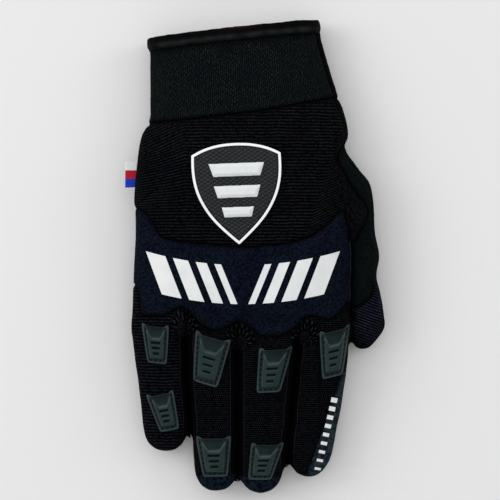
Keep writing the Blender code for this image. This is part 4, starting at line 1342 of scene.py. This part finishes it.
def badge_bar(node):
    """A raised bar of the badge: the frame's bar with sloping sides and rounded edges."""
    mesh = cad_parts[node].data.copy()
    made = new_object(node + "_moulded", mesh)
    bm = bmesh.new()
    bm.from_mesh(mesh)
    bmesh.ops.remove_doubles(bm, verts=bm.verts, dist=0.01 * MM)
    bm.to_mesh(mesh)
    bm.free()
    remesh_evenly(made, 0.3 * MM)
    points = relax(points_of(made.data), edges_of(made.data), 4)
    edge = np.array([(*spot, 0.0) for spot in rounded_outline(hull(plan_points(node)), 120)])
    inward = distances(tree_over(edge), points * (1, 1, 0))
    upper = smooth_step((points[:, 2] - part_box(node)[0].z) / (0.8 * MM))
    points[:, 2] += DIAMOND_RISE * 0.6 + BAR_CROWN * upper * smooth_step(inward / BAR_EASE)
    move_points(made.data, points)
    select_only(made)
    bpy.ops.object.shade_smooth()
    made.data.materials.clear()
    made.data.materials.append(SHADED_BAR_WHITE)
    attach(made, "root")
    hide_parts(node)
    return made


rim, rim_outline = badge_rim()
rim.data.materials.append(RIM_WHITE)
plate = badge_plate(hull(plan_points("badge_rim")))
for made, node, slot in ((rim, "badge_rim", "badge_white"), (plate, "badge_plate", "badge_mesh")):
    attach(made, "root")
    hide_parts(node)
for node in BAR_NODES:
    badge_bar(node)


# Hem of the cuff

HEM_LAP = 0.9 * MM


def hem():
    """The rolled binding of the cuff's mouth."""
    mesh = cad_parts["cuff_hem"].data.copy()
    made = new_object("cuff_hem_binding", mesh)
    bm = bmesh.new()
    bm.from_mesh(mesh)
    bmesh.ops.remove_doubles(bm, verts=bm.verts, dist=0.01 * MM)
    bm.to_mesh(mesh)
    bm.free()
    remesh_evenly(made, 0.7 * MM)
    points = relax(points_of(made.data), edges_of(made.data), 30, weight=0.8)
    move_points(made.data, points)
    normals = normals_of(made.data)
    lumps = 0.28 * MM * soft_noise(points, 9 * MM, 4) + 0.14 * MM * soft_noise(points, 3 * MM, 5)
    run = points @ outward - MOUTH_EDGE
    groove = np.exp(-((run - 1.0 * MM) / (0.45 * MM)) ** 2)
    across = points @ np.array(MOUTH_ACROSS)
    pucker = soft_noise(np.stack([across, points[:, 2] * 0.3, 0 * across], axis=1), 1.5 * MM, 6)
    lumps += 0.22 * MM * pucker * np.clip((3.2 * MM - run) / (2 * MM), 0.25, 1)
    points = points + normals * (lumps - 0.42 * MM * groove)[:, None]
    points = points - outward * (HEM_LAP * np.clip(1 - run / (1.6 * MM), 0, 1))[:, None]
    points[:, 2] = np.maximum(points[:, 2], 0.05 * MM)
    move_points(made.data, points)
    cloth_lay = lay_points("cuff_hem", points)
    # Painted highlight: a paler band along the middle of the roll, kept in lay's third value.
    crown_highlight = np.exp(-((run - 1.9 * MM) / (0.95 * MM)) ** 2)
    lining = smooth_step((run - 4.7 * MM) / (0.5 * MM)) * np.exp(-((across - 0.004) / (8 * MM)) ** 2)
    cloth_lay[:, 2] = crown_highlight * (0.85 + 0.9 * soft_noise(points, 4 * MM, 8)) - 0.5 * lining
    lay = made.data.attributes.new("lay", "FLOAT_VECTOR", "POINT")
    lay.data.foreach_set("vector", cloth_lay.astype(np.float32).ravel())
    select_only(made)
    bpy.ops.object.shade_smooth()
    made.data.materials.clear()
    made.data.materials.append(HEM_CLOTH)
    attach(made, "root")
    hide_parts("cuff_hem")


def hem_cloth():
    """Close black binding, with a painted highlight along the crown of its roll and the dark red of the lining inside
    the mouth.
    """
    made, wires, shader = cloth_base("hem_binding", 0.7, 0.01)
    shader.inputs["Specular IOR Level"].default_value = 0.03
    lay = lay_of(wires)
    ribs = grouped(wires, KNIT_RIBS, Across=lay["X"], Along=lay["Y"], Pitch=0.9 * MM, Stitch_Pitch=0.8 * MM,
                   Stitch_Share=0.5)
    # The binding's rib tops take a painted highlight.
    cloth = wires.mix_colour(ribs.outputs["Crest Highlight"], (0.0002, 0.0002, 0.0003), (0.0022, 0.0024, 0.0028))
    # The pale colour here is the painted highlight along the roll.
    rolled = wires.mix_colour(wires.spread(lay["Z"], 0.0, 1.0), cloth, (0.0115, 0.0130, 0.0140))
    wires.join(wires.mix_colour(wires.spread(lay["Z"], 0.0, -1.0), rolled, (0.0300, 0.0030, 0.0030)),
               shader.inputs["Base Color"])
    bump(wires, shader, ribs.outputs["Height"], 0.12 * MM)
    return made


HEM_CLOTH = hem_cloth()
hem()


# Woven side tab: a ribbon folded on itself

TAB_RIBBON = 0.42 * MM


def tab_weave():
    made, wires, shader = cloth_base("tab_weave", 0.75, 0.1)
    place = wires.add("ShaderNodeTexCoord")
    parts = wires.add("ShaderNodeSeparateXYZ")
    wires.join(place.outputs["Object"], parts.inputs[0])
    low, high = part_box("side_tab")
    length = high.y - low.y
    first = wires.spread(parts.outputs["Y"], low.y + 0.345 * length, low.y + 0.355 * length)
    second = wires.spread(parts.outputs["Y"], low.y + 0.665 * length, low.y + 0.675 * length)
    lower = wires.mix_colour(first, (0.012, 0.042, 0.42), (0.42, 0.012, 0.022))
    striped = wires.mix_colour(second, lower, (0.72, 0.73, 0.75))
    weave = wires.add("ShaderNodeTexWave", wave_type="BANDS", bands_direction="X")
    weave.inputs["Scale"].default_value = 900.0
    weave.inputs["Distortion"].default_value = 0.6
    wires.join(place.outputs["Object"], weave.inputs["Vector"])
    across = wires.add("ShaderNodeTexWave", wave_type="BANDS", bands_direction="Y")
    across.inputs["Scale"].default_value = 700.0
    wires.join(place.outputs["Object"], across.inputs["Vector"])
    cloth = wires.math("MULTIPLY", weave.outputs["Fac"], across.outputs["Fac"])
    shade = wires.mix_colour(wires.math("MULTIPLY", cloth, 0.35), striped, (0.05, 0.05, 0.07))
    wires.join(shade, shader.inputs["Base Color"])
    bump(wires, shader, cloth, 0.06 * MM)
    return made


def side_tab():
    low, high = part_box("side_tab")
    bpy.ops.mesh.primitive_grid_add(x_subdivisions=40, y_subdivisions=20, size=2)
    made = bpy.context.object
    made.name = "side_tab_ribbon"
    points = points_of(made.data)
    along = (points[:, 0] + 1) / 2
    across = points[:, 1]
    reach = high.x - low.x
    half = (high.z - low.z) / 2 - TAB_RIBBON / 2
    middle = (high.z + low.z) / 2
    bend = half * pi / 2
    run = along * (2 * reach + 2 * bend) - (reach + bend)
    straight = np.maximum(np.abs(run) - bend, 0)
    turn = np.clip(run / bend, -1, 1) * pi / 2
    x = low.x + TAB_RIBBON / 2 + half * (1 - np.cos(turn)) + straight
    z = middle + half * np.sin(turn) + 0.12 * MM * np.sin(across * 2.4) * np.sign(run)
    y = (low.y + high.y) / 2 + across * (high.y - low.y) / 2 * 0.985 + 0.04 * (x - low.x)
    made_points = np.stack([x, y, z], axis=1)
    move_points(made.data, made_points)
    solid = made.modifiers.new("Ribbon", "SOLIDIFY")
    solid.thickness = TAB_RIBBON
    solid.offset = 0
    apply_modifiers(made)
    select_only(made)
    bpy.ops.object.mode_set(mode="EDIT")
    bpy.ops.mesh.select_all(action="SELECT")
    bpy.ops.mesh.normals_make_consistent(inside=False)
    bpy.ops.object.mode_set(mode="OBJECT")
    bpy.ops.object.shade_smooth_by_angle(angle=radians(50))
    made.data.materials.append(tab_weave())
    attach(made, "root")
    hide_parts("side_tab")


side_tab()


# Prints: plain bars on the soft panel and plain dashes on the index finger

PRINT_LIFT = 0.10 * MM
PRINT_FILM = 0.12 * MM
BAR_SLANT = 0.42
BAR_HALF = 9.2 * MM
PRINT_MIDDLE = (243.0, 284.0)
PRINT_SMILE = 3.1
Bar = namedtuple("Bar", "start width")
PRINT_BARS = [Bar(6.4, 3.2), Bar(13.2, 5.2), Bar(22.0, 7.2), Bar(32.8, 9.4)]


def print_ink():
    made, wires, shader = paint("print_ink", (0.72, 0.74, 0.73), 0.5, 0.3)
    place = wires.add("ShaderNodeTexCoord").outputs["Object"]
    weave = wires.noise(place, 1500.0, 3.0)
    patch = wires.spread(wires.noise(place, 120.0, 3.0), 0.35, 0.7)
    wires.join(wires.mix_colour(patch, (0.70, 0.72, 0.715), (0.63, 0.65, 0.65)), shader.inputs["Base Color"])
    bump(wires, shader, weave, 0.05 * MM)
    return made


PRINT_INK = print_ink()


def film(name, outline, cells, slot):
    """A grid for a thin printed film over a plan quad, given as its four corners; finish_film lays it on the cloth."""
    bpy.ops.mesh.primitive_grid_add(x_subdivisions=cells[0], y_subdivisions=cells[1], size=2)
    made = bpy.context.object
    made.name = name
    points = points_of(made.data)
    right = (points[:, :1] + 1) / 2
    upper = (points[:, 1:2] + 1) / 2
    a, b, c, d = (np.array(corner) for corner in outline)
    points[:, :2] = (a * (1 - right) + b * right) * (1 - upper) + (d * (1 - right) + c * right) * upper
    return made, points


def finish_film(made, points):
    points[:, 2] = ground_under(points) + PRINT_LIFT
    move_points(made.data, points)
    solid = made.modifiers.new("Film", "SOLIDIFY")
    solid.thickness = PRINT_FILM
    solid.offset = -1
    apply_modifiers(made)
    bpy.ops.object.shade_smooth_by_angle(angle=radians(50))
    made.data.materials.append(PRINT_INK)
    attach(made, "root")
    return made


def print_bars():
    """Slanted bars, mirrored about the panel's middle, that widen outwards along a shallow arc."""
    middle = on_sheet(*PRINT_MIDDLE)
    for side, word in ((-1, "left"), (1, "right")):
        for number, bar in enumerate(PRINT_BARS, start=1):
            inner = bar.start * MM
            outer = inner + bar.width * MM
            lean = BAR_SLANT * BAR_HALF
            spots = [(inner - lean, -BAR_HALF), (outer - lean, -BAR_HALF),
                     (outer + lean, BAR_HALF), (inner + lean, BAR_HALF)]
            outline = [(middle.x + side * x, middle.y + y) for x, y in spots]
            if side < 0:
                outline = [outline[1], outline[0], outline[3], outline[2]]
            cells = (max(5, int(bar.width / 0.7)), 26)
            made, points = film(f"print_bar_{word}_{number}", outline, cells, "soft_panel")
            away = points[:, 0] - middle.x
            points[:, 1] += PRINT_SMILE * away ** 2
            finish_film(made, points)


def print_dashes():
    """Small dashes down the index finger's smooth side."""
    start = on_sheet(333.5, 399)
    end = on_sheet(317.5, 468)
    along = (end - start).normalized()
    side = Vector((-along.y, along.x, 0))
    count = 9
    for number in range(count):
        spot = start.lerp(end, number / (count - 1))
        half = 1.5 * MM
        thick = (1.15 - 0.07 * number) * MM
        corners = [spot - side * half - along * thick, spot + side * half - along * thick,
                   spot + side * half + along * thick, spot - side * half + along * thick]
        made, points = film(f"print_dash_{number + 1}", [corner[:2] for corner in corners], (6, 5), "finger_knit")
        finish_film(made, points)


print_bars()
print_dashes()


# Stitches along the seams

seam_row("rib_seam_stitches", "back_rib_panel", "knuckle_panel", 1.1 * MM, (0, -1, 0), 2.1 * MM, 1.5 * MM, 0.38 * MM)
seam_row("cuff_seam_stitches", "cuff_back", "back_rib_panel", 1.1 * MM, (0, -1, 0), 2.1 * MM, 1.5 * MM, 0.38 * MM)
for finger in FINGER_NODES:
    seam_row(finger + "_stitches", "knuckle_panel", finger, 1.0 * MM, (0, 1, 0), 1.9 * MM, 1.35 * MM, 0.38 * MM)


def hem_seam():
    """The row of stitches that holds the binding to the cuff."""
    low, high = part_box("cuff_back")
    path = []
    for share in np.linspace(0.03, 0.97, 60):
        across = (low.x + (high.x - low.x) * share - outward[0] * MOUTH_EDGE) / MOUTH_ACROSS.x
        spot = MOUTH_ACROSS * across + MOUTH_OUTWARD * (MOUTH_EDGE - HEM_LAP - 0.75 * MM)
        path.append(Vector((spot.x, spot.y, ground(spot.x, spot.y) + 0.05 * MM)))
    places = [(spot, along, (0, 0, 1)) for spot, along in evenly_along(path, 2.2 * MM) if spot.z > 8 * MM]
    stitches("hem_seam_stitches", places, 1.6 * MM, 0.42 * MM)


hem_seam()


def gap_seams(first, second, gather):
    """The two seams that hold the black strips beside a gap between fingers."""
    foot = on_sheet(gather.x, gather.y)
    path = [spot for spot in seam_path(first, second) if spot.y < foot.y - 1.0 * MM]
    path.sort(key=lambda spot: -spot.y)
    path = eased(path, 30)
    for side, word in ((-1, "left"), (1, "right")):
        line = []
        for spot in path:
            x = spot.x + side * (STRIP_WIDTH + 0.2 * MM)
            line.append(Vector((x, spot.y, ground(x, spot.y) + 0.04 * MM)))
        places = [(spot, along, (0, 0, 1)) for spot, along in evenly_along(line, 1.5 * MM) if spot.z > 4 * MM]
        stitches(f"gap_seam_{first}_{word}", places, 1.35 * MM, 0.34 * MM, GREY_THREAD)


for (first, second), gather in zip(zip(FINGER_NODES, FINGER_NODES[1:]), GATHERS):
    gap_seams(first, second, gather)
seam_row("soft_edge_piping", "knuckle_panel", "thumb_suede", 1.3 * MM, (-1, 0, 0), 1.2 * MM, 1.35 * MM, 0.7 * MM,
         cloth=GREY_THREAD)


# Stage, lights and camera

CAMERA_LENS = 135.0
SENSOR = 36.0
PHOTO_PIXELS = 500
camera_data = bpy.data.cameras.new("camera")
camera_data.lens = CAMERA_LENS
camera_data.sensor_width = SENSOR
camera = bpy.data.objects.new("camera", camera_data)
bpy.context.scene.collection.objects.link(camera)
camera.location = (SHEET_OFFSET[0], SHEET_OFFSET[1], 12 * MM + PHOTO_PIXELS * PHOTO_SCALE * CAMERA_LENS / SENSOR)
bpy.context.scene.camera = camera

bpy.ops.mesh.primitive_plane_add(size=6.0, location=(0, 0, -0.2 * MM))
floor = bpy.context.object
floor.name = "floor"
paper = bpy.data.materials.new("floor_paper")
paper.use_nodes = True
paper.node_tree.nodes["Principled BSDF"].inputs["Base Color"].default_value = (0.71, 0.71, 0.71, 1)
paper.node_tree.nodes["Principled BSDF"].inputs["Roughness"].default_value = 1.0
floor.data.materials.append(paper)


def soft_light(name, place, size, power):
    """A square light that faces the glove."""
    data = bpy.data.lights.new(name, "AREA")
    data.size = size
    data.energy = power
    lamp = bpy.data.objects.new(name, data)
    bpy.context.scene.collection.objects.link(lamp)
    lamp.location = place
    lamp.rotation_euler = (-Vector(place)).to_track_quat("-Z", "Y").to_euler()
    return lamp


soft_light("left_softbox", (-0.75, 0.25, 0.55), 0.5, 2.5)
soft_light("right_softbox", (0.8, 0.35, 0.5), 0.45, 1.8)
key_data = bpy.data.lights.new("key", "SUN")
key_data.energy = 1.10
key_data.angle = radians(100)
key = bpy.data.objects.new("key", key_data)
bpy.context.scene.collection.objects.link(key)
key.rotation_euler = (-Vector((-0.35, 0.5, 1.0))).to_track_quat("-Z", "Y").to_euler()
world = bpy.data.worlds.new("studio")
bpy.context.scene.world = world
world.use_nodes = True
world.node_tree.nodes["Background"].inputs["Color"].default_value = (1, 1, 1, 1)
world.node_tree.nodes["Background"].inputs["Strength"].default_value = 0.60
bpy.context.scene.view_settings.view_transform = "Standard"

bpy.ops.object.select_all(action="DESELECT")
